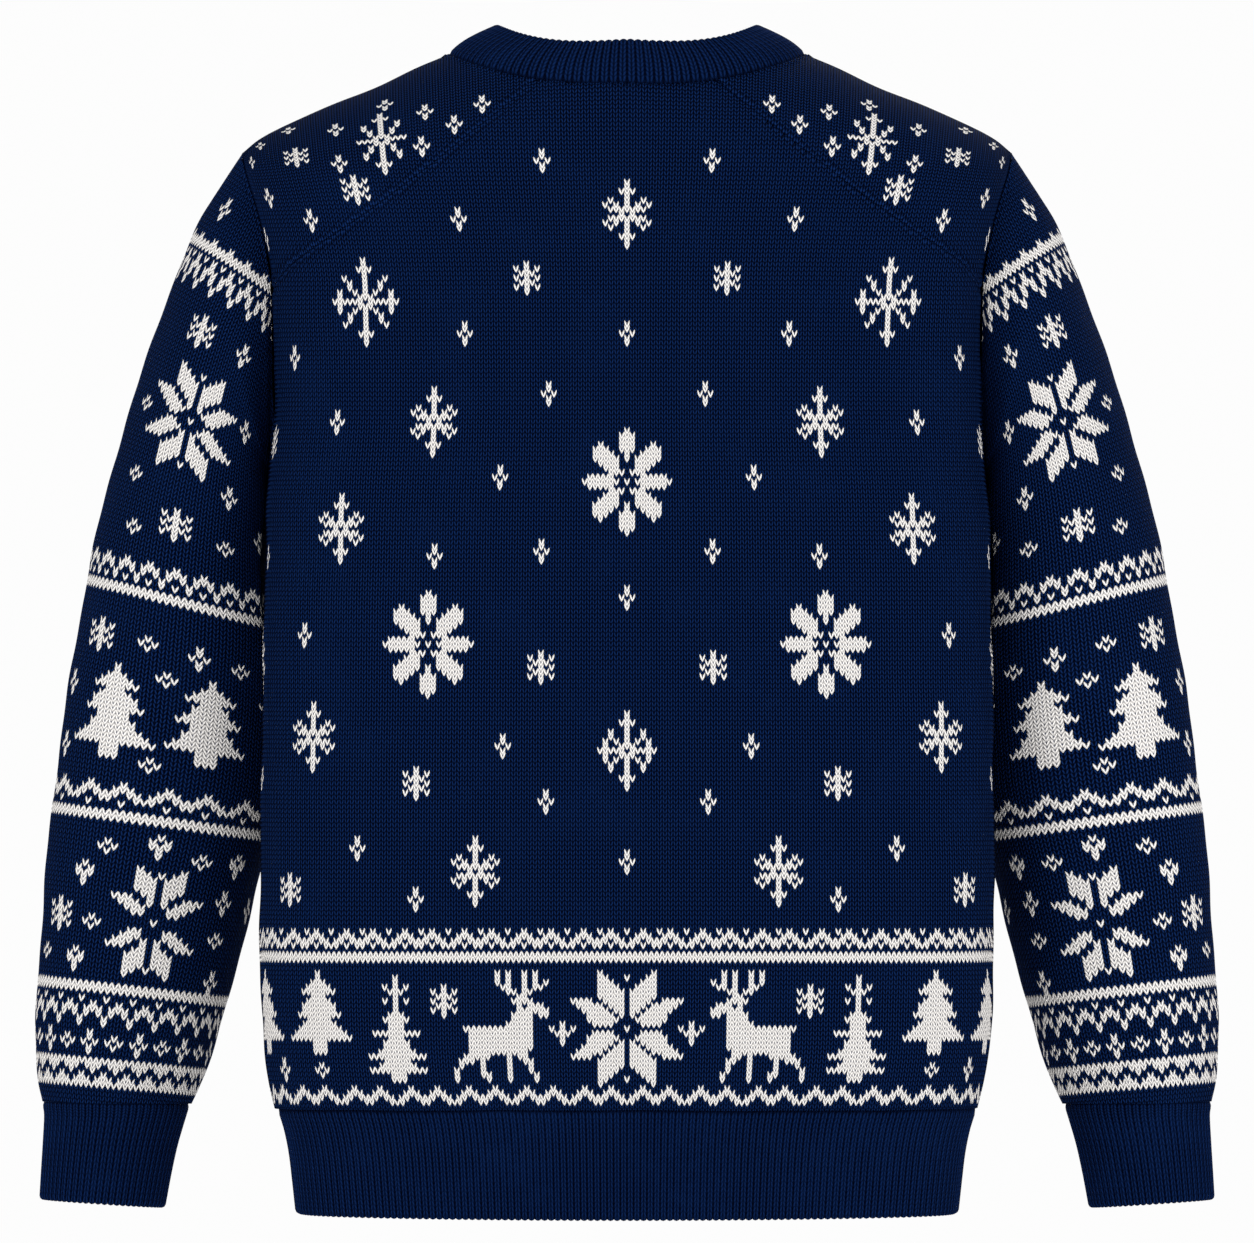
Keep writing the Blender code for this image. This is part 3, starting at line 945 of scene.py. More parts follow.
# On the back and front; each spot off the middle is knitted on both halves
BODY_SPOTS = (
    Spot(FLOWER, 0, 136),
    Spot(FLOWER, 37, 101),
    Spot(SIX_ARMS, 0, 194),
    Spot(SIX_ARMS, 37, 149),
    Spot(SIX_ARMS, 54, 126),
    Spot(SIX_ARMS, 59, 81),
    Spot(SIX_ARMS, 28, 52),
    Spot(EIGHT_ARMS, 0, 78),
    Spot(EIGHT_LONG_ARMS, 50, 175),
    Spot(SMALL_STAR, 19, 180),
    Spot(SMALL_STAR, 16, 96),
    Spot(SMALL_STAR, 39, 71),
    Spot(SMALL_STAR, 64, 48),
    Spot(PLUS, 15, 206),
    Spot(PLUS, 31, 193),
    Spot(PLUS, 59, 193),
    Spot(PLUS, 31, 168),
    Spot(PLUS, 0, 168),
    Spot(PLUS, 66, 163),
    Spot(PLUS, 15, 155),
    Spot(PLUS, 56, 149),
    Spot(PLUS, 24, 137),
    Spot(PLUS, 36, 120),
    Spot(PLUS, 16, 121),
    Spot(PLUS, 0, 111),
    Spot(PLUS, 61, 103),
    Spot(PLUS, 23, 79),
    Spot(PLUS, 15, 67),
    Spot(PLUS, 50, 57),
    Spot(PLUS, 0, 54),
    Spot(PLUS, 39, 46),
    Spot(PLUS, 76, 120),
    Spot(PLUS, 76, 72),
    Spot(SMALL_STAR, 76, 145),
    Spot(SIX_ARMS, 80, 98),
)
# Over the shoulders
SHOULDER_SPOTS = (
    Spot(SHOULDER_STAR, 43, 213),
    Spot(SMALL_STAR, 49, 200),
    Spot(SMALL_STAR, 59, 211),
    Spot(PLUS, 42, 226),
    Spot(PLUS, 35, 220),
    Spot(PLUS, 25, 220),
    Spot(PLUS, 51, 219),
    Spot(PLUS, 30, 215),
    Spot(PLUS, 36, 210),
    Spot(PLUS, 51, 207),
    Spot(PLUS, 71, 211),
    Spot(PLUS, 68, 199),
    Spot(PLUS, 75, 189),
    Spot(SMALL_STAR, 81, 200),
    Spot(PLUS, 60, 225),
    Spot(PLUS, 67, 219),
)
# The row of trees, stars and reindeer over the hem
FRIEZE = (
    Spot(BIG_STAR, 0, 18),
    Spot(CROSS, 12, 17),
    Spot(REINDEER, 24, 19),
    Spot(SMALL_STAR, 34, 24),
    Spot(POINTED_TREE, 43, 18),
    Spot(TREE, 58, 22),
    Spot(SMALL_PLUS, 58, 9),
    Spot(PLUS, 67, 9),
    Spot(TREE, 73, 22),
    Spot(SMALL_STAR, 83, 17),
)
ZIGZAG = ("#....#.....", "##..###...#", ".####.##.##", "..##...###.")
HEM_BAND = (
    "#.#..#..#..",
    "##..###...#",
    ".####.##.##",
    "#.##.#.###.",
    "...........",
    "###########",
    "###########",
)
ARM_BAND = ("#...", "##.#", ".#.#", "..#.", "#.#.", "....", "####", "####")
THIN_BAND = (
    "#....#.....",
    "##..###...#",
    ".####.##.##",
    "..##...###.",
    "#....#.....",
    "...........",
    "###########",
    "###########",
)
WRIST_BAND = ("####", "####", "....", "..#.", "#...", "##.#", ".#.#", "..#.", "..#.")
TEETH = ("####", "###.", ".#..", "...#", "#.##", "####")
TOP_BAND = ("..#.", "####", "####", "....", "#.#.", "#...", "##.#", ".#.#", ".#.#", "..#.", "..#.")

SLEEVE_SPOTS = (
    Spot(SLEEVE_STAR, 18, 149),
    Spot(SMALL_STAR, 15, 168),
    Spot(PLUS, 24, 168),
    Spot(SMALL_PLUS, 8, 149),
    Spot(PLUS, 29, 153),
    Spot(SMALL_PLUS, 10, 134),
    Spot(PLUS, 27, 136),
    Spot(SMALL_PLUS, 12, 123),
    Spot(SMALL_PLUS, 27, 124),
    Spot(PLUS, 34, 128),
    Spot(SMALL_STAR, 19, 126),
    Spot(SMALL_STAR, 9, 99),
    Spot(SMALL_PLUS, 17, 99),
    Spot(PLUS, 24, 98),
    Spot(SMALL_PLUS, 30, 97),
    Spot(SLEEVE_TREE, 13, 84),
    Spot(NARROW_TREE, 26, 84),
    Spot(SMALL_PLUS, 20, 92),
    Spot(SMALL_PLUS, 19, 73),
    Spot(SMALL_PLUS, 35, 90),
    Spot(PLUS, 38, 82),
    Spot(PLUS, 4, 88),
    Spot(PLUS, 4, 75),
    Spot(FULL_PLUS, 22, 56),
    Spot(SMALL_PLUS, 15, 55),
    Spot(SMALL_PLUS, 28, 54),
    Spot(FULL_PLUS, 34, 54),
    Spot(FULL_PLUS, 12, 49),
    Spot(SMALL_STAR, 8, 40),
    Spot(SMALL_PLUS, 14, 39),
    Spot(LOWER_STAR, 23, 40),
    Spot(PLUS, 33, 46),
    Spot(SMALL_PLUS, 33, 38),
    Spot(FULL_PLUS, 12, 31),
    Spot(PLUS, 34, 29),
    Spot(PLUS, 40, 45),
    Spot(SMALL_PLUS, 5, 32),
    Spot(PLUS, 8, 193),
    Spot(PLUS, 13, 203),
    Spot(SMALL_PLUS, 18, 196),
    Spot(PLUS, 23, 207),
    Spot(SMALL_PLUS, 4, 205),
    Spot(SMALL_PLUS, 28, 200),
)
SLEEVE_COURSES = 230
BODY_COURSES = 270


def body_canvas() -> Canvas:
    """The back's and the front's pattern, shoulders included."""
    canvas = Canvas(GAUGE.half_wales, BODY_COURSES)
    canvas.band(ZIGZAG, 2, -8)
    canvas.band(HEM_BAND, 33, -8)
    for spot in BODY_SPOTS + SHOULDER_SPOTS + FRIEZE:
        for side in (1, -1):
            if spot.wale or side == 1:
                chart = spot.chart
                if spot.chart is REINDEER and side == 1:
                    chart = Chart(*["".join(row[::-1]) for row in spot.chart.rows])
                canvas.put(chart, side * spot.wale, spot.course)
    return canvas


def sleeve_canvas() -> Canvas:
    """The left sleeve's pattern: bands, with motifs between them behind and in front."""
    canvas = Canvas(GAUGE.sleeve_half_wales, SLEEVE_COURSES)
    canvas.band(TEETH, 5)
    canvas.band(WRIST_BAND, 18)
    for wale in range(-40, 45, 8):
        canvas.put(PLUS, wale, 14)
        canvas.put(SMALL_PLUS, wale - 4, 14)
    canvas.band(THIN_BAND, 61)
    canvas.band(ARM_BAND, 109)
    canvas.band(TOP_BAND, 176)
    for spot in SLEEVE_SPOTS:
        for side in (1, -1):
            canvas.put(spot.chart, side * spot.wale, spot.course)
    return canvas


# ------------------------------------------------------------------------------------------- finishes


class Signal:
    """A number carried by a node's socket, for writing shader maths as expressions."""

    def __init__(self, shader: Shader, socket: Any) -> None:
        """Wrap a socket of a shader."""
        self.shader = shader
        self.socket = socket

    def _math(self, operation: str, *values: Signal | float) -> Signal:
        """Add a Math node and give its value."""
        node = self.shader.node("ShaderNodeMath", {"operation": operation}, dict(enumerate(values)))
        return Signal(self.shader, node.outputs[0])

    def __add__(self, other: Signal | float) -> Signal:
        """This plus other."""
        return self._math("ADD", self, other)

    __radd__ = __add__

    def __sub__(self, other: Signal | float) -> Signal:
        """This less other."""
        return self._math("SUBTRACT", self, other)

    def __rsub__(self, other: Signal | float) -> Signal:
        """Other less this."""
        return self._math("SUBTRACT", other, self)

    def __mul__(self, other: Signal | float) -> Signal:
        """This times other."""
        return self._math("MULTIPLY", self, other)

    __rmul__ = __mul__

    def __pow__(self, other: float) -> Signal:
        """This to a power."""
        return self._math("POWER", self, other)

    def fraction(self) -> Signal:
        """The part past the whole number."""
        return self._math("FRACT", self)

    def size(self) -> Signal:
        """The value without its sign."""
        return self._math("ABSOLUTE", self)

    def between(self, low: float, high: float) -> Signal:
        """A smooth step from 0 at low to 1 at high."""
        node = self.shader.node(
            "ShaderNodeMapRange",
            {"interpolation_type": "SMOOTHSTEP"},
            {"Value": self, "From Min": low, "From Max": high, "To Min": 0.0, "To Max": 1.0},
        )
        return Signal(self.shader, node.outputs[0])


class Shader:
    """The nodes of one material."""

    def __init__(self, name: str) -> None:
        """Start a material with a Principled shader.

        Args:
            name: the material's name.
        """
        self.material = bpy.data.materials.new(name)
        self.material.use_nodes = True
        self.tree = self.material.node_tree
        self.surface = self.tree.nodes["Principled BSDF"]

    def node(self, kind: str, settings: dict[str, Any], inputs: dict[Any, Any]) -> Any:
        """Add a node.

        Args:
            kind: the node's type.
            settings: its properties, set first.
            inputs: the values or links of its sockets.

        Returns:
            The node.
        """
        node = self.tree.nodes.new(kind)
        for key, value in settings.items():
            setattr(node, key, value)
        for key, value in inputs.items():
            self.connect(node.inputs[key], value)
        return node

    def connect(self, socket: Any, value: Any) -> None:
        """Link a signal or another socket to a socket, or set its value."""
        if isinstance(value, Signal):
            self.tree.links.new(value.socket, socket)
        elif isinstance(value, bpy.types.NodeSocket):
            self.tree.links.new(value, socket)
        else:
            socket.default_value = value

    def mix(self, factor: Signal | float, low: Any, high: Any, blend: str = "MIX") -> Any:
        """Mix two colours and give the mixed colour's socket."""
        settings = {"data_type": "RGBA", "blend_type": blend}
        node = self.node("ShaderNodeMix", settings, {0: factor, 6: low, 7: high})
        return node.outputs[2]

    def noise(self, scale: float, detail: float = 2.0) -> Signal:
        """Soft noise over the object's own space, from 0 to 1."""
        space = self.node("ShaderNodeTexCoord", {}, {}).outputs["Object"]
        node = self.node("ShaderNodeTexNoise", {}, {"Vector": space, "Scale": scale, "Detail": detail})
        return Signal(self, node.outputs[0])


class Step(NamedTuple):
    """Where a smooth step begins and ends."""

    low: float
    high: float


@dataclass(frozen=True)
class Knit:
    """Wool knitted in navy and white: each stitch is two plump legs that meet below, with shade painted into
    the gaps between them and onto the white legs.
    """

    navy: tuple[float, float, float, float] = (0.0036, 0.0168, 0.0770, 1.0)
    # painted shade: the navy seen in shadow in the gaps between the yarn legs
    deep_navy: tuple[float, float, float, float] = (0.0001, 0.0006, 0.0040, 1.0)
    white: tuple[float, float, float, float] = (0.86, 0.83, 0.80, 1.0)
    # painted shade: the colour of white yarn in shadow, at the notch between a stitch's legs and towards
    # each leg's rim
    white_shade: tuple[float, float, float, float] = (0.20, 0.22, 0.30, 1.0)
    roughness: float = 0.86
    relief: float = 0.0016
    # painted shade: how dark a rib's valleys and the parting in each ridge's middle are drawn
    valley_shade: float = 0.0  # how dark the valleys between a rib's ridges are
    # how far the painted shade darkens the gaps that the legs don't cover
    gap_shade_strength: float = 0.92
    tinted_navy: tuple[float, float, float, float] = (0.0042, 0.0182, 0.0810, 1.0)
    grey: tuple[float, float, float, float] = (0.5, 0.5, 0.5, 1.0)
    specular: float = 0.01
    bump_strength: float = 0.9
    # Steps out from a wale's middle (0) to its edge (1)
    edge_taper: ClassVar[Step] = Step(0.62, 1.0)
    middle_taper: ClassVar[Step] = Step(0.0, 0.22)
    edge_hollow: ClassVar[Step] = Step(0.50, 1.0)
    middle_hollow: ClassVar[Step] = Step(0.0, 0.50)
    notch_width: ClassVar[Step] = Step(0.10, 0.34)
    rib_valley: ClassVar[Step] = Step(0.55, 0.85)
    rib_parting: ClassVar[Step] = Step(0.04, 0.32)
    # Steps up one course, from its foot (0) to its head (1)
    notch_height: ClassVar[Step] = Step(0.52, 0.86)
    upper_half: ClassVar[Step] = Step(0.49, 0.51)
    # Steps in from a leg's rim, which fall as they go in
    cover_step: ClassVar[Step] = Step(1.0, 0.45)
    round_step: ClassVar[Step] = Step(1.28, 0.86)
    rim_step: ClassVar[Step] = Step(1.36, 1.12)
    attributes: ClassVar[tuple[tuple[str, int], ...]] = (
        ("white", 0),
        ("white_above", 1),
        ("white_below", -1),
    )
    map_name: ClassVar[str] = "stitches"

    @classmethod
    def add_layers(cls, mesh: Any) -> None:
        """Give a bmesh the face layers that this finish reads, all navy."""
        for name, _ in cls.attributes:
            mesh.faces.layers.float.new(name)

    def make(self, name: str) -> Any:
        """Make the material.

        Args:
            name: its name.

        Returns:
            The material.
        """
        s = Shader(name)
        place = s.node("ShaderNodeUVMap", {"uv_map": self.map_name}, {}).outputs[0]
        parts = s.node("ShaderNodeSeparateXYZ", {}, {0: place})
        wale, row = Signal(s, parts.outputs[0]), Signal(s, parts.outputs[1])
        out = (wale.fraction() * 2.0 - 1.0).size()
        across = (row.fraction() * 2.0 - 1.0).size()
        narrow = out.between(*self.edge_taper) * 0.50 + (1.0 - out.between(*self.middle_taper)) * 0.34
        hollow = out.between(*self.edge_hollow) + (1.0 - out.between(*self.middle_hollow)) * 0.90
        plump = 1.0 - (across + narrow) ** 2.6
        cover = (across * 0.8 + hollow).between(*self.cover_step)
        # The notch between a stitch's legs: sunk in the bump height, and painted dark as shade on white
        # stitches
        notch = (1.0 - out.between(*self.notch_width)) * row.fraction().between(*self.notch_height)
        strands = s.noise(1900.0, 3.0)
        patches = s.noise(26.0, 2.0)
        tufts = s.noise(240.0, 2.0)
        white, above, below = (
            Signal(s, s.node("ShaderNodeAttribute", {"attribute_name": layer}, {}).outputs["Fac"])
            for layer, _ in self.attributes
        )
        upper = row.fraction().between(*self.upper_half)
        joined_on = above * upper + below * (1.0 - upper)

        # Painted shade of a rib: full navy on its ridges, darker in the valleys between them and along the
        # parting in each one's middle
        ridge = 1.0 - out.between(*self.rib_valley) * self.valley_shade
        parting_shade = 1.0 - (1.0 - out.between(*self.rib_parting)) * self.valley_shade * 0.9
        # Painted shade: the navy darkens to its shadow colour in the gaps that the legs don't cover, in a
        # rib's valleys and along its partings
        navy = s.mix((1.0 - (1.0 - cover) * self.gap_shade_strength) * ridge * parting_shade, self.deep_navy, self.navy)
        navy = s.mix((tufts - 0.5) * 0.30 + (patches - 0.5) * 0.5, navy, self.tinted_navy)
        # Painted light and shade on white legs: full white in a leg's middle, shaded towards its rim and
        # dark in the notch
        painted_leg_light = (across + narrow).between(*self.round_step)
        pale = s.mix((1.0 - notch) * (0.55 + 0.45 * painted_leg_light), self.white_shade, self.white)
        shown = white * (across + narrow - joined_on * 0.45).between(*self.rim_step)
        colour = s.mix(shown, navy, pale)
        colour = s.mix(strands.between(0.25, 0.75) * 0.22, colour, self.grey, "SOFT_LIGHT")
        s.connect(s.surface.inputs["Base Color"], colour)
        s.connect(s.surface.inputs["Roughness"], self.roughness)
        s.connect(s.surface.inputs["Specular IOR Level"], self.specular)
        height = plump * (1.0 - 0.6 * notch) + 0.16 * strands + 0.10 * tufts
        values = {"Height": height, "Distance": self.relief, "Strength": self.bump_strength}
        bump = s.node("ShaderNodeBump", {}, values)
        s.connect(s.surface.inputs["Normal"], bump.outputs[0])
        return s.material


@dataclass(frozen=True)
class Floor:
    """Plain pale paper under and behind the jumper."""

    colour: tuple[float, float, float, float] = (0.97, 0.97, 0.97, 1.0)
    grain_colour: tuple[float, float, float, float] = (0.9, 0.9, 0.9, 1.0)
    glow_colour: tuple[float, float, float, float] = (1.0, 1.0, 1.0, 1.0)
    roughness: float = 0.9
    glow: float = 0.25

    def make(self, name: str) -> Any:
        """Make the material."""
        s = Shader(name)
        grain = s.noise(3.0)
        s.connect(s.surface.inputs["Base Color"], s.mix(grain * 0.02, self.colour, self.grain_colour))
        s.connect(s.surface.inputs["Roughness"], self.roughness)
        s.connect(s.surface.inputs["Emission Color"], self.glow_colour)
        s.connect(s.surface.inputs["Emission Strength"], self.glow)
        return s.material


# ---------------------------------------------------------------------------------- making the cloth


def inside(points: Array, outline: Array) -> Array:
    """Which points lie inside a closed outline."""
    start, end = outline, np.roll(outline, -1, axis=0)
    hit = np.zeros(len(points), dtype=bool)
    for a, b in zip(start, end):
        if a[1] == b[1]:
            continue
        spans = (a[1] > points[:, 1]) != (b[1] > points[:, 1])
        cross = a[0] + (points[:, 1] - a[1]) * (b[0] - a[0]) / (b[1] - a[1])
        hit ^= spans & (points[:, 0] < cross)
    return hit


def nearest_on(points: Array, outline: Array) -> Array:
    """The nearest point of a closed outline to each point."""
    best = np.full(len(points), np.inf)
    found = points.copy()
    for a, b in zip(outline, np.roll(outline, -1, axis=0)):
        way = b - a
        if way @ way < 1e-12:
            continue
        along = np.clip((points - a) @ way / (way @ way), 0.0, 1.0)
        near = a + along[:, None] * way
        away = np.sum((points - near) ** 2, axis=1)
        closer = away < best
        best[closer], found[closer] = away[closer], near[closer]
    return found


@dataclass
class Seam:
    """A sewn line that draws the cloth in along it."""

    line: Array
    depth: float = 0.0011
    width: float = 0.0022
    welt: float = 0.35  # how high the ridges beside it stand, as a share of its depth

    def offset(self, points: Array) -> Array:
        """How far the cloth moves out along its normal at each point."""
        away = np.full(len(points), 1.0)
        low, high = self.line.min(0) - 0.02, self.line.max(0) + 0.02
        near = np.all((points > low) & (points < high), axis=1)
        some = points[near]
        least = np.full(len(some), 1.0)
        for place in self.line:
            least = np.minimum(least, np.sum((some - place) ** 2, axis=1))
        away[near] = np.sqrt(least)
        return -self.depth * np.exp(-((away / self.width) ** 2)) + self.welt * self.depth * np.exp(
            -(((away - 2.2 * self.width) / self.width) ** 2)
        )


def vertices_of(data: Any) -> Array:
    """A mesh's vertices, one a row."""
    flat = np.zeros(len(data.vertices) * 3)
    data.vertices.foreach_get("co", flat)
    return flat.reshape(-1, 3)


def finish_mesh(name: str, data: Any, points: Array, stitches: Array) -> Any:
    """Move a mesh's vertices to their places, write its stitch map and put it in the scene.

    Args:
        name: the object's name.
        data: the mesh.
        points: a place for each vertex.
        stitches: wale and course for each vertex.

    Returns:
        The object.
    """
    corners = np.zeros(len(data.loops), dtype=np.int64)
    data.loops.foreach_get("vertex_index", corners)
    layer = data.uv_layers.new(name=Knit.map_name)
    layer.data.foreach_set("uv", stitches[corners].astype(np.float32).ravel())
    data.vertices.foreach_set("co", points.astype(np.float32).ravel())
    data.update()
    piece = bpy.data.objects.new(name, data)
    bpy.context.scene.collection.objects.link(piece)
    return piece


@dataclass
class Cloth:
    """A stretch of knitted cloth, cut to an outline given in stitches."""

    field_of: StitchField
    outline: Array
    canvas: Canvas
    outward: float
    lean: float = GAUGE.lean
    wall: float = 0.0026
    groove: float = 0.00042
    folds: tuple[Fold, ...] = ()
    seams: list[Seam] = field(default_factory=list)
    wraps: bool = False

    def grid(self, wale_step: float, course_step: float, lean: float) -> Any:
        """A flat grid in stitches, cut to the outline, with its edge on the outline.

        Args:
            wale_step: the grid's step across, in wales.
            course_step: its step up, in courses.
            lean: how far the stitches' middles fall.

        Returns:
            A bmesh whose vertices hold wale and course, with the face layer for white stitches.
        """
        low = np.floor(self.outline.min(0)) - (0, 1)
        high = np.ceil(self.outline.max(0)) + (0, 1)
        across = int(round((high[0] - low[0]) / wale_step))
        up = int(math.ceil((high[1] - low[1]) / course_step))
        mesh = bmesh.new()
        bmesh.ops.create_grid(mesh, x_segments=across, y_segments=up, size=0.5)
        spread = (across * wale_step, up * course_step, 1.0)
        bmesh.ops.scale(mesh, vec=spread, verts=mesh.verts)
        centre = (low[0] + spread[0] / 2.0, low[1] + spread[1] / 2.0, 0.0)
        bmesh.ops.translate(mesh, vec=centre, verts=mesh.verts)
        middles = np.array([face.calc_center_median()[:2] for face in mesh.faces])
        for name, rise in Knit.attributes:
            white = np.zeros(len(middles))
            if lean:
                white = self.canvas.colour_of(middles[:, 0], middles[:, 1] + rise)
            layer = mesh.faces.layers.float.new(name)
            for face, value in zip(mesh.faces, white):
                face[layer] = value
        for vert in mesh.verts:
            vert.co.y -= lean * (1.0 - abs(2.0 * (vert.co.x % 1.0) - 1.0))
        middles[:, 1] -= lean / 2.0
        kept = inside(middles, self.outline)
        faces = list(mesh.faces)
        bmesh.ops.delete(mesh, geom=[faces[i] for i in np.flatnonzero(~kept)], context="FACES")
        edge = [vert for vert in mesh.verts if vert.is_boundary]
        for vert, place in zip(edge, nearest_on(np.array([v.co[:2] for v in edge]), self.outline)):
            vert.co.x, vert.co.y = place
        return mesh

    def lay(self, stitches: Array, depth: float, relief: bool) -> Array:
        """Points of the cloth.

        Args:
            stitches: wale and course, one pair a row.
            depth: how far inside the outer face they lie.
            relief: whether wales stand up from their edges.

        Returns:
            The points.
        """
        wale, course = stitches[:, 0], stitches[:, 1]
        points = self.field_of.place(wale, course)
        normals = self.field_of.normal(wale, course) * self.outward
        offset = np.full(len(points), -depth)
        for shape in (*self.folds, *self.seams):
            offset += shape.offset(points)
        offset += soft_waves(points)
        if relief:
            offset -= self.groove * (1.0 - leg_place(wale)) ** 2
        return points + normals * offset[:, None]

    def surface(self, name: str, mesh: Any, depth: float, relief: bool) -> Any:
        """Turn a grid in stitches into an object of cloth."""
        if (self.outward < 0.0) == (depth == 0.0):
            bmesh.ops.reverse_faces(mesh, faces=mesh.faces)
        data = bpy.data.meshes.new(name)
        mesh.to_mesh(data)
        mesh.free()
        stitches = vertices_of(data)[:, :2]
        rows = np.stack((stitches[:, 0], stitches[:, 1] + self.lean * leg_place(stitches[:, 0])), axis=1)
        return finish_mesh(name, data, self.lay(stitches, depth, relief), rows)

    def rim(self, name: str) -> Any:
        """The cut edge, from the outer face to the inner one."""
        ends = np.concatenate((self.outline, self.outline[:1]))
        length = np.concatenate(([0.0], np.cumsum(np.linalg.norm(np.diff(ends, axis=0), axis=1))))
        at = np.linspace(0.0, length[-1], int(length[-1] / 1.5))
        line = np.stack((np.interp(at, length, ends[:, 0]), np.interp(at, length, ends[:, 1])), axis=1)
        mesh = bmesh.new()
        bmesh.ops.create_grid(mesh, x_segments=len(line) - 1, y_segments=1, size=0.5)
        Knit.add_layers(mesh)
        data = bpy.data.meshes.new(name)
        mesh.to_mesh(data)
        mesh.free()
        flat = vertices_of(data)
        index = np.rint((flat[:, 0] + 0.5) * (len(line) - 1)).astype(int)
        outer, inner = self.lay(line, 0.0, False), self.lay(line, self.wall, False)
        points = np.where((flat[:, 1] > 0.0)[:, None], outer[index], inner[index])
        piece = finish_mesh(name, data, points, line[index])
        return piece

    def build(self, name: str) -> list[Any]:
        """The outer face, the inner face and the cut edge, as objects to join."""
        outer = self.surface(name, self.grid(0.5, 1.0, self.lean), 0.0, True)
        inner = self.surface(name + "_inner", self.grid(4.0, 4.0, 0.0), self.wall, False)
        return [outer, inner] + ([] if self.wraps else [self.rim(name + "_rim")])


def soft_waves(points: Array) -> Array:
    """The slight unevenness of soft cloth, as an offset along its normal."""
    x, y, z = points[:, 0], points[:, 1], points[:, 2]
    first = np.sin(47.0 * x + 31.0 * z + 9.0 * y + 0.7) * np.sin(38.0 * z - 23.0 * x + 1.9)
    second = np.sin(93.0 * x - 71.0 * z + 2.3) * np.sin(61.0 * x + 84.0 * z + 0.4)
    return 0.0009 * first + 0.0004 * second


def joined(name: str, parts: list[Any], hand: Hand, weld: float = 0.00002) -> Any:
    """Join parts into one piece.

    Args:
        name: the piece's name.
        parts: the objects to join.
        hand: LEFT as built, RIGHT for the mirror image.
        weld: how near two points are to be made one.

    Returns:
        The piece.
    """
    target = parts[0]
    with bpy.context.temp_override(active_object=target, object=target, selected_editable_objects=parts):
        bpy.ops.object.join()
    target.name = name
    mesh = bmesh.new()
    mesh.from_mesh(target.data)
    bmesh.ops.remove_doubles(mesh, verts=mesh.verts, dist=weld)
    if hand is Hand.RIGHT:
        bmesh.ops.scale(mesh, vec=(-1.0, 1.0, 1.0), verts=mesh.verts)
        bmesh.ops.reverse_faces(mesh, faces=mesh.faces)
    mesh.to_mesh(target.data)
    mesh.free()
    target.data.name = name
    target.data.shade_smooth()
    return target


# ---------------------------------------------------------------------------- the jumper's pieces


def seam_line(u: Array, z: Array, side: Side, hand: Hand) -> Array:
    """A line on the torso's surface, for a seam on the left or right."""
    return FORM.point(u, z, side) * (hand.value, 1.0, 1.0)


def raglan_line(side: Side, hand: Hand) -> Array:
    """The raglan seam, from the neck seam to the armhole."""
    return seam_line(*FORM.raglan_at(np.linspace(0.0, 1.0, 90), side), side, hand)


def neck_line(side: Side, hand: Hand) -> Array:
    """The neck seam, from the shoulder to the centre."""
    x = FORM.neck_x(np.linspace(FORM.neck_steps, 0.0, 120))
    z = FORM.neck_z(x, side)
    return seam_line(FORM.place_at(x, z, side), z, side, hand)


def armhole_line(side: Side, hand: Hand) -> Array:
    """The armhole seam below the raglan seam."""
    return FORM.armhole_lower(np.linspace(0.0, 1.0, 90), side) * (hand.value, 1.0, 1.0)


@dataclass
class Piece:
    """One piece of the jumper, which stands for the CAD node of its own name."""

    name: str
    slot: Slot
    finish: Knit

    def parts(self) -> list[Any]:
        """The objects that make the piece, to be joined."""
        raise NotImplementedError

    def cut(self) -> tuple[float, float, float]:
        """The flat cut's width, length and area."""
        raise NotImplementedError

    def hand(self) -> Hand:
        """LEFT unless the piece is made as a mirror image."""
        return Hand.LEFT

    def make(self) -> Any:
        """Returns:
            The finished object.
        """
        piece = joined(self.name + "_cloth", self.parts(), self.hand())
        piece.data.materials.clear()
        piece.data.materials.append(self.finish.make(self.name + "_yarn"))
        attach(piece, "root")
        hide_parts(self.name)
        width, length, area = self.cut()
        faces = sum(len(face.vertices) - 2 for face in piece.data.polygons)
        LOG.info("%s: %d triangles, cut %.3f by %.3f m", self.name, faces, width, length)
        return piece


def outline_area(outline: Array) -> float:
    """The area inside a closed outline."""
    x, y = outline[:, 0], outline[:, 1]
    return 0.5 * abs(float(np.dot(x, np.roll(y, -1)) - np.dot(y, np.roll(x, -1))))


@dataclass
class Panel(Piece):
    """The back or the front."""

    side: Side = Side.BACK
    stitches: TorsoField | None = None
    canvas: Canvas | None = None
    wale: float = 0.00308
    foot: float = 0.12

    def outline(self) -> Array:
        """The panel's outline in stitches."""
        lower = np.linspace(1.0, 0.0, 40)
        z = FORM.raglan_foot_z + (FORM.underarm_z - FORM.raglan_foot_z) * lower
        armhole = self.stitches.stitch_at(FORM.armhole_u(z, self.side), z)
        raglan = self.stitches.stitch_at(*FORM.raglan_at(np.linspace(1.0, 0.0, 60), self.side))
        x = FORM.neck_x(np.linspace(FORM.panel_steps(self.side), 0.0, 30))
        height = FORM.neck_z(x, self.side)
        neck = self.stitches.stitch_at(FORM.place_at(x, height, self.side), height)
        half = np.concatenate(([[GAUGE.half_wales + 0.5, self.foot]], armhole, raglan[1:], neck[1:]))
        other = half[-2::-1] * (-1.0, 1.0) + (1.0, 0.0)
        return np.concatenate((half, other))

    def parts(self) -> list[Any]:
        """The panel's cloth."""
        seams = [Seam(line(self.side, hand)) for hand in Hand for line in (raglan_line, armhole_line)]
        seams += [Seam(neck_line(self.side, hand), **NECK_SEAM) for hand in Hand]
        cloth = Cloth(
            self.stitches,
            self.outline(),
            self.canvas,
            -float(self.side.value),
            folds=PANEL_FOLDS[self.side],
            seams=seams,
        )
        return cloth.build(self.name)

    def cut(self) -> tuple[float, float, float]:
        """The flat cut's width, length and area."""
        outline = self.outline()
        span = outline.max(0) - outline.min(0)
        width, length = span[0] * self.wale, span[1] * GAUGE.course
        return width, length, outline_area(outline) * self.wale * GAUGE.course


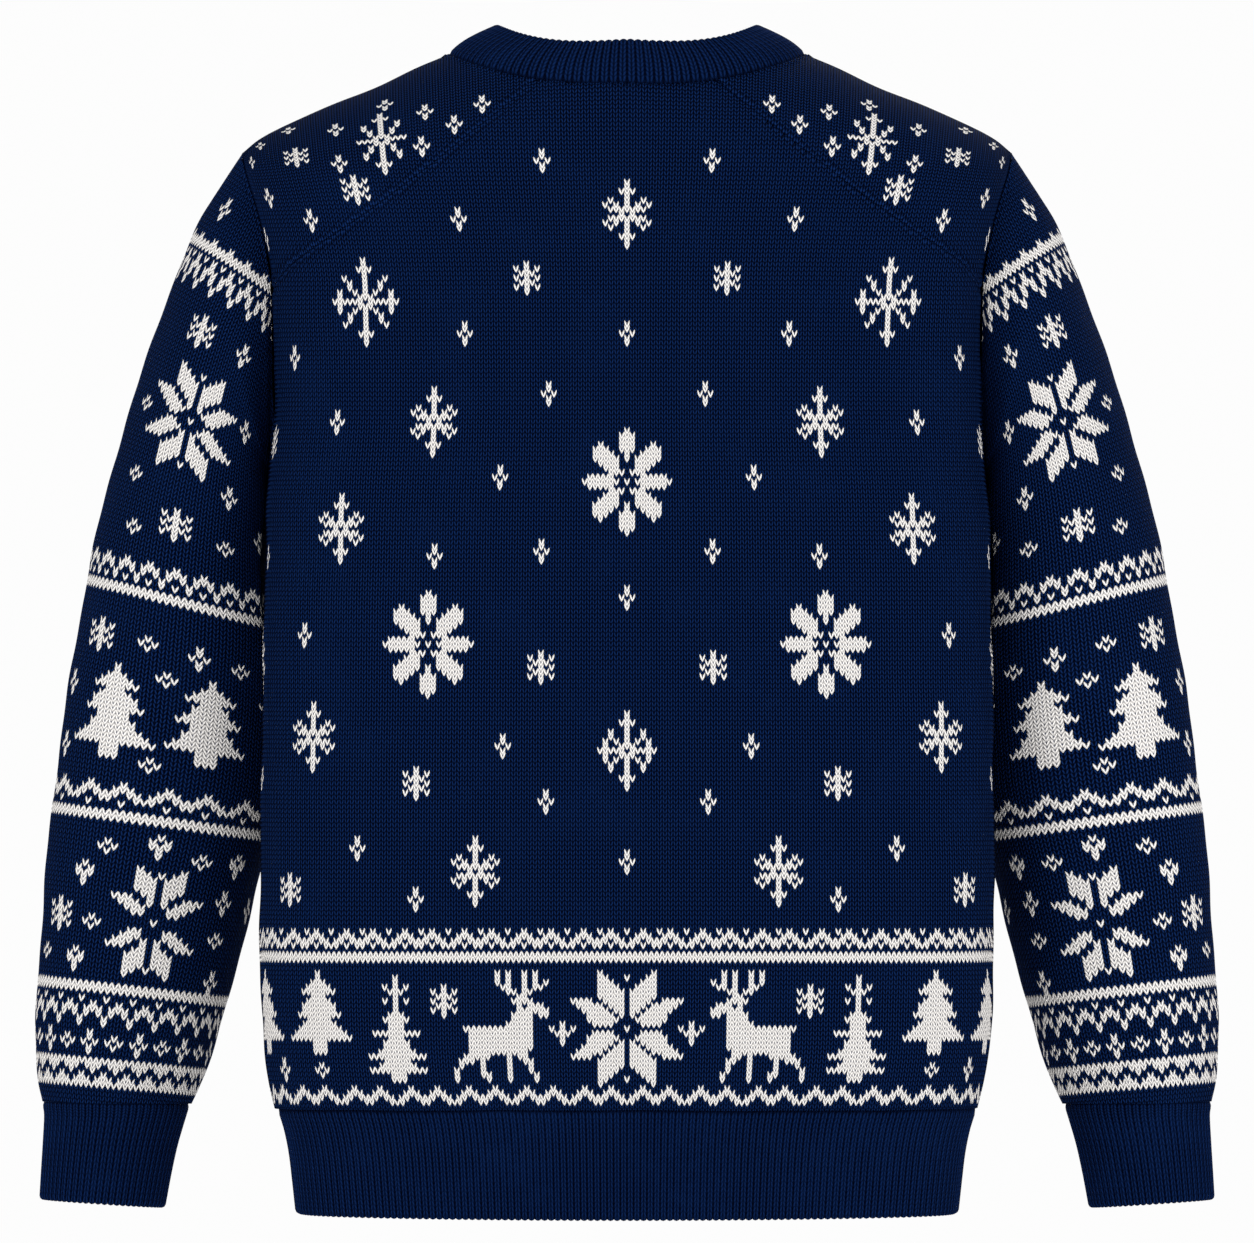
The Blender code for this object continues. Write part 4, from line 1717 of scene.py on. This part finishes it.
@dataclass
class Sleeve(Piece):
    """A raglan sleeve: its top over the shoulder, behind and in front, and its tube."""

    side_hand: Hand = Hand.LEFT
    torso: dict[Side, TorsoField] = field(default_factory=dict)
    body_canvas: Canvas | None = None
    canvas: Canvas | None = None
    stitches: SleeveField | None = None
    wale: float = 0.00308
    tube_wale: float = 0.00415
    shoulder_gap: float = 0.0012
    widest: float = 1.08  # the tube's widest place, against its usual width
    top_length: float = 0.12  # of the sleeve's top, past the tube

    def hand(self) -> Hand:
        """The side it is worn on."""
        return self.side_hand

    def yoke_outline(self, side: Side) -> Array:
        """The outline of the sleeve's top, in the torso's stitches."""
        stitches = self.torso[side]
        raglan = stitches.stitch_at(*FORM.raglan_at(np.linspace(0.0, 1.0, 60), side))
        edge = FORM.armhole_upper(np.linspace(1.0, 0.0, 50), side)
        armhole = stitches.stitch_at(FORM.place_at(edge[:, 0], edge[:, 2], side), edge[:, 2])
        x = np.linspace(FORM.shoulder_tip, FORM.neck_half, 50)
        z = FORM.shoulder_z(x)
        shoulder = stitches.stitch_at(FORM.place_at(x, z, side), z)
        x = FORM.neck_x(np.linspace(FORM.neck_steps, FORM.panel_steps(side), 30))
        z = FORM.neck_z(x, side)
        neck = stitches.stitch_at(FORM.place_at(x, z, side), z)
        return np.concatenate((raglan, armhole[1:], shoulder[1:], neck[1:-1]))

    def tube_outline(self) -> Array:
        """The outline of the sleeve's tube, cut open along its inner side, in its own stitches."""
        wales = self.stitches.wales
        foot = self.stitches.foot + 0.12
        low = np.stack((wales, foot), axis=1)
        top = np.stack((wales, self.stitches.ends), axis=1)
        return np.concatenate((low, top[::-1]))

    def parts(self) -> list[Any]:
        """The sleeve's tube and its top, behind and in front."""
        seams = [Seam(armhole_line(side, Hand.LEFT)) for side in Side]
        tube = Cloth(
            self.stitches, self.tube_outline(), self.canvas, 1.0, folds=SLEEVE_FOLDS, seams=seams, wraps=True
        )
        objects = tube.build(self.name)
        for side in Side:
            seam = [Seam(raglan_line(side, Hand.LEFT)), Seam(neck_line(side, Hand.LEFT), **NECK_SEAM)]
            outline = self.yoke_outline(side)
            yoke = Cloth(self.torso[side], outline, self.body_canvas, -float(side.value), seams=seam)
            halves = yoke.build(self.name + "_" + side.name.lower())
            for half in halves:
                self.close_shoulder(half)
            objects += halves
        return objects

    def close_shoulder(self, half: Any) -> None:
        """Bring a half of the sleeve's top right up to the shoulder line, where the two halves meet.

        Args:
            half: the object to change.
        """
        for vertex in half.data.vertices:
            if abs(vertex.co.y) < self.shoulder_gap:
                vertex.co.y = 0.0

    def cut(self) -> tuple[float, float, float]:
        """The flat cut's width, length and area."""
        tube = self.tube_outline()
        area = outline_area(tube) * self.tube_wale * GAUGE.sleeve_course
        yokes = sum(outline_area(self.yoke_outline(side)) for side in Side) * self.wale * GAUGE.course
        width = 2.0 * GAUGE.sleeve_half_wales * self.tube_wale * self.widest
        length = float(tube[:, 1].max()) * GAUGE.sleeve_course + self.top_length
        return width, length, area + yokes


@dataclass
class Ribbing(Piece):
    """A band of one-and-one rib, worked in the round, with its edge turned over."""

    ribs: int = 100
    steps_per_rib: int = 6
    rows: int = 16
    edge_rows: int = 5
    ridge: float = 0.0010
    tuck: float = 0.0015  # how far it reaches in behind the cloth it is sewn to
    seam_in: float = 0.0014  # how far its sewn edge lies behind the rest of it
    half_wall: float = 0.0015
    course: float = 0.0029
    low_ridge: float = 0.35  # a ridge's height at the seam, as a share of its full height
    ridge_rise: float = 0.12  # the part of the way down in which it reaches that height

    def surface(self, turn: Array, share: Array) -> Array:
        """Points of the rib's outer side: turn 0 to 1 round it, share 0 to 1 from its seam to its edge."""
        raise NotImplementedError

    def sense(self) -> float:
        """1 where turn, then share, gives an outward normal, else -1."""
        return 1.0

    def parts(self) -> list[Any]:
        """The rib as one closed skin: outer side, edge, inner side."""
        around = self.ribs * self.steps_per_rib
        profile = self.rows + self.edge_rows + self.rows // 2 + 2
        mesh = bmesh.new()
        bmesh.ops.create_grid(mesh, x_segments=around, y_segments=profile, size=0.5)
        Knit.add_layers(mesh)
        if self.sense() < 0.0:
            bmesh.ops.reverse_faces(mesh, faces=mesh.faces)
        data = bpy.data.meshes.new(self.name)
        mesh.to_mesh(data)
        mesh.free()
        flat = vertices_of(data)
        turn = flat[:, 0] + 0.5
        row = np.rint((flat[:, 1] + 0.5) * profile)
        outer = np.clip(row / self.rows, 0.0, 1.0)
        bend = np.clip((row - self.rows) / self.edge_rows, 0.0, 1.0) * math.pi
        turned = self.rows + self.edge_rows
        back = np.clip((row - turned) / (profile - 1 - turned), 0.0, 1.0)
        share = np.where(row <= turned, outer, 1.0 - back)
        last = row == profile
        share = np.where(last, 0.0, share)
        bend = np.where(last, 0.0, bend)
        turn_step, share_step = 0.25 / self.ribs, 0.01
        middle = self.surface(turn, share)
        across = self.surface(turn + turn_step, share) - self.surface(turn - turn_step, share)
        near = np.clip(share, share_step, 1.0 - share_step)
        along = self.surface(turn, near + share_step) - self.surface(turn, near - share_step)
        normal = np.cross(across, along) * self.sense()
        normal /= np.linalg.norm(normal, axis=1)[:, None]
        up = along / np.linalg.norm(along, axis=1)[:, None]
        height = self.low_ridge + (1.0 - self.low_ridge) * ease(share, 0.0, self.ridge_rise)
        ridge = self.ridge * np.sqrt(leg_place(turn * self.ribs)) * height
        thick = self.half_wall + ridge
        seam = ((row == 0) | last)[:, None]
        middle = middle - normal * self.half_wall - seam * (up * self.tuck + normal * self.seam_in)
        points = middle + normal * (thick * np.cos(bend))[:, None] + up * (thick * np.sin(bend))[:, None]
        way = self.surface(np.zeros(1), np.ones(1)) - self.surface(np.zeros(1), np.zeros(1))
        length = float(np.linalg.norm(way))
        rows = (share * length + bend / math.pi * 2.0 * self.half_wall) / self.course
        place = np.stack((turn * self.ribs, rows + GAUGE.lean * leg_place(turn * self.ribs)), axis=1)
        return [finish_mesh(self.name, data, points, place)]

    def cut(self) -> tuple[float, float, float]:
        """The flat cut's width, length and area."""
        count = 400
        turn = np.linspace(0.0, 1.0, count)
        widths = []
        for share in (0.0, 0.5, 1.0):
            line = self.surface(turn, np.full(count, share))
            widths.append(np.linalg.norm(np.diff(line, axis=0), axis=1).sum())
        way = self.surface(turn, np.ones(count)) - self.surface(turn, np.zeros(count))
        length = float(np.linalg.norm(way, axis=1).mean())
        return float(max(widths)), length, float(np.mean(widths)) * length


def turn_parts(turn: Array) -> tuple[Array, Array, Array]:
    """Split a turn from the centre back.

    Args:
        turn: 0 at the centre back, 0.25 at the wearer's left, 0.5 at the centre front.

    Returns:
        The share of the way from the centre to the side, whether it is behind, and the sign of x.
    """
    turn = np.mod(turn, 1.0)
    mirror = np.where(turn <= 0.5, 1.0, -1.0)
    folded = np.where(turn <= 0.5, turn, 1.0 - turn) * 2.0
    behind = folded <= 0.5
    return np.where(behind, folded * 2.0, 2.0 - folded * 2.0), behind, mirror


@dataclass
class Neckband(Ribbing):
    """The rib round the neck, leaning in from its seam."""

    bow: float = 0.0035
    places: int = 801  # round the neck, where its length is measured

    def surface(self, turn: Array, share: Array) -> Array:
        """Points of the neckband's outer side, with its ribs spaced evenly round it."""
        raw = np.linspace(0.0, 1.0, self.places)
        middle = self.ring(raw, np.full(self.places, 0.5))
        steps = np.linalg.norm(np.diff(middle, axis=0), axis=1)
        reached = np.concatenate(([0.0], np.cumsum(steps))) / steps.sum()
        whole = np.floor(turn)
        return self.ring(whole + np.interp(turn - whole, reached, raw), share)

    def ring(self, turn: Array, share: Array) -> Array:
        """Points of the neckband's outer side, by angle."""
        place, behind, mirror = turn_parts(turn)
        x = FORM.neck_half * np.sin(place * math.pi / 2.0)
        seam = np.zeros((len(x), 3))
        for side in Side:
            z = FORM.neck_z(x, side)
            points = FORM.point(FORM.place_at(x, z, side), z, side)
            seam = np.where((behind == (side is Side.BACK))[:, None], points, seam)
        folded = np.where(behind, place, 2.0 - place) / 2.0
        turns = column(BAND_LEAN, "turn")
        leans = [column(BAND_LEAN, name) for name in ("out", "back_up", "up")]
        lean = np.stack([smooth_table(folded, turns, values) for values in leans], axis=1)
        radial = seam * (1.0, 1.0, 0.0)
        radial /= np.maximum(np.linalg.norm(radial, axis=1), 1e-9)[:, None]
        points = seam + lean * share[:, None] + radial * (self.bow * np.sin(math.pi * share))[:, None]
        return mirrored(points, mirror)

    def sense(self) -> float:
        """Round from the back by the left, then up: outwards is the other way."""
        return -1.0


@dataclass
class HemRib(Ribbing):
    """The rib round the hem."""

    bottom_z: float = -0.6800
    side_rise: float = 0.0037

    def surface(self, turn: Array, share: Array) -> Array:
        """Points of the hem rib's outer side."""
        place, behind, mirror = turn_parts(turn)
        drops = column(HEM_RIB, "drop")
        x, y = np.zeros_like(share), np.zeros_like(share)
        for side in Side:
            length, width, deep = FORM.section(side)
            depth = smooth_table(share, drops, column(HEM_RIB, side.name.lower() + "_depth"))
            mine = behind == (side is Side.BACK)
            half_width = smooth_table(share, drops, column(HEM_RIB, "half_width"))
            x = np.where(mine, half_width * np.interp(place, length, width), x)
            y = np.where(mine, FORM.side_y + side.value * depth * np.interp(place, length, deep), y)
        bottom = self.bottom_z + self.side_rise * place**2
        z = FORM.hem_z + (bottom - FORM.hem_z) * share
        return np.stack((x * mirror, y, z), axis=1)


@dataclass
class Cuff(Ribbing):
    """The rib at the end of a sleeve."""

    side_hand: Hand = Hand.LEFT

    def hand(self) -> Hand:
        """The side it is worn on."""
        return self.side_hand

    def surface(self, turn: Array, share: Array) -> Array:
        """Points of the cuff's outer side."""
        at = np.linspace(0.0, 1.0, len(CUFF_RINGS))
        columns = [column(CUFF_RINGS, name) for name in SleeveRing._fields]
        ring = SleeveRing(*(smooth_table(share, at, values) for values in columns))
        return ring_points(ring, 2.0 * math.pi * turn)

    def sense(self) -> float:
        """Round from the outside by the back, then down: outwards is the other way."""
        return -1.0


NECK_SEAM: dict[str, float] = {"depth": 0.0013, "width": 0.0012, "welt": 0.8}
SIDE_FOLDS = tuple(
    Fold((hand.value * 0.212, 0.0, -0.19), (hand.value * 0.212, 0.0, -0.31), 0.05, -0.0012) for hand in Hand
)
PANEL_FOLDS: dict[Side, tuple[Fold, ...]] = {
    Side.BACK: SIDE_FOLDS
    + tuple(
        fold
        for hand in Hand
        for fold in (
            Fold((hand.value * 0.190, 0.070, -0.165), (hand.value * 0.120, 0.110, -0.260), 0.011, 0.0022),
            Fold((hand.value * 0.196, 0.060, -0.215), (hand.value * 0.150, 0.095, -0.330), 0.012, 0.0018),
            Fold((hand.value * 0.200, 0.050, -0.560), (hand.value * 0.110, 0.090, -0.590), 0.010, -0.0016),
            Fold((hand.value * 0.205, 0.040, -0.470), (hand.value * 0.175, 0.080, -0.585), 0.012, 0.0016),
        )
    ),
    Side.FRONT: SIDE_FOLDS,
}
SLEEVE_FOLDS: tuple[Fold, ...] = (
    Fold((0.212, 0.0, -0.19), (0.212, 0.0, -0.31), 0.05, -0.0016),
    Fold((0.235, 0.055, -0.300), (0.300, 0.060, -0.270), 0.012, 0.0030),
    Fold((0.232, 0.050, -0.330), (0.290, 0.060, -0.322), 0.010, -0.0018),
    Fold((0.238, 0.052, -0.360), (0.300, 0.055, -0.372), 0.012, 0.0024),
    Fold((0.225, 0.055, -0.160), (0.275, 0.060, -0.215), 0.012, 0.0022),
    Fold((0.300, 0.045, -0.590), (0.255, 0.045, -0.575), 0.010, 0.0018),
)


# --------------------------------------------------------------------------------------- the studio


class Lamp(NamedTuple):
    """A square soft light."""

    name: str
    place: tuple[float, float, float]
    size: float
    power: float


LAMPS = (
    Lamp("key", (1.2, 3.4, 1.5), 1.8, 60.0),
    Lamp("fill", (-2.4, 2.6, 0.4), 2.0, 26.0),
    Lamp("front_key", (-1.2, -3.4, 1.5), 2.0, 50.0),
)


@dataclass
class Studio:
    """A pale floor, soft lights and the camera."""

    middle: tuple[float, float, float] = (0.0, 0.0, -0.336)
    camera_y: float = 14.0
    near_y: float = 0.04
    seen: float = 0.734
    floor_z: float = -0.76
    sensor: float = 36.0
    far: float = 100.0
    paper_half: float = 2.4
    sky: float = 0.98

    def paper(self) -> None:
        """The sheet of pale paper below the jumper."""
        mesh = bmesh.new()
        bmesh.ops.create_grid(mesh, x_segments=1, y_segments=1, size=self.paper_half)
        bmesh.ops.translate(mesh, vec=(0.0, 0.0, self.floor_z), verts=mesh.verts)
        data = bpy.data.meshes.new("floor")
        mesh.to_mesh(data)
        mesh.free()
        floor = bpy.data.objects.new("floor", data)
        bpy.context.scene.collection.objects.link(floor)
        data.materials.append(Floor().make("floor_paper"))

    def light(self, lamp: Lamp) -> None:
        """Put up a light that looks at the jumper's middle."""
        data = bpy.data.lights.new(lamp.name, "AREA")
        data.shape = "SQUARE"
        data.size = lamp.size
        data.energy = lamp.power
        holder = bpy.data.objects.new(lamp.name, data)
        bpy.context.scene.collection.objects.link(holder)
        holder.location = lamp.place
        way = holder.location.copy()
        way -= type(way)(self.middle)
        holder.rotation_euler = way.to_track_quat("Z", "Y").to_euler()

    def build(self) -> None:
        """Set up the floor, the sky, the lights and the camera."""
        self.paper()
        world = bpy.data.worlds.new("studio")
        bpy.context.scene.world = world
        world.use_nodes = True
        background = world.node_tree.nodes["Background"]
        background.inputs[0].default_value = (1.0, 1.0, 1.0, 1.0)
        background.inputs[1].default_value = self.sky
        for lamp in LAMPS:
            self.light(lamp)
        data = bpy.data.cameras.new("camera")
        data.sensor_width = self.sensor
        data.lens = self.sensor * (self.camera_y - self.near_y) / self.seen
        data.clip_end = self.far
        camera = bpy.data.objects.new("camera", data)
        bpy.context.scene.collection.objects.link(camera)
        camera.location = (self.middle[0], self.camera_y, self.middle[2])
        camera.rotation_euler = (math.pi / 2.0, 0.0, math.pi)
        bpy.context.scene.camera = camera
        bpy.context.scene.view_settings.view_transform = "Standard"


def main() -> None:
    """Build every piece of the jumper, then the studio."""
    logging.basicConfig(level=logging.INFO, format="%(message)s")
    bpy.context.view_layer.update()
    torso = {side: TorsoField(side) for side in Side}
    sleeve = SleeveField()
    body, arm = body_canvas(), sleeve_canvas()
    wool = Knit()
    # The rib's finish: strong painted shade in the valleys between its ridges, and lighter painted shade in
    # the gaps between its legs
    rib = Knit(navy=(0.0026, 0.0118, 0.0550, 1.0), valley_shade=0.80, gap_shade_strength=0.45, relief=0.0006)
    pieces: list[Piece] = [
        Panel("body_back", Slot.KNIT, wool, Side.BACK, torso[Side.BACK], body),
        Panel("body_front", Slot.KNIT, wool, Side.FRONT, torso[Side.FRONT], body),
        Sleeve("sleeve_left", Slot.KNIT, wool, Hand.LEFT, torso, body, arm, sleeve),
        Sleeve("sleeve_right", Slot.KNIT, wool, Hand.RIGHT, torso, body, arm, sleeve),
        Neckband("neckband", Slot.RIB, rib, ribs=127, rows=9, tuck=0.0036),
        HemRib("hem_rib", Slot.RIB, rib, ribs=260),
        Cuff("cuff_left", Slot.RIB, rib, ribs=60, side_hand=Hand.LEFT),
        Cuff("cuff_right", Slot.RIB, rib, ribs=60, side_hand=Hand.RIGHT),
    ]
    for piece in pieces:
        piece.make()
    Studio().build()


if __name__ == "__main__":
    main()
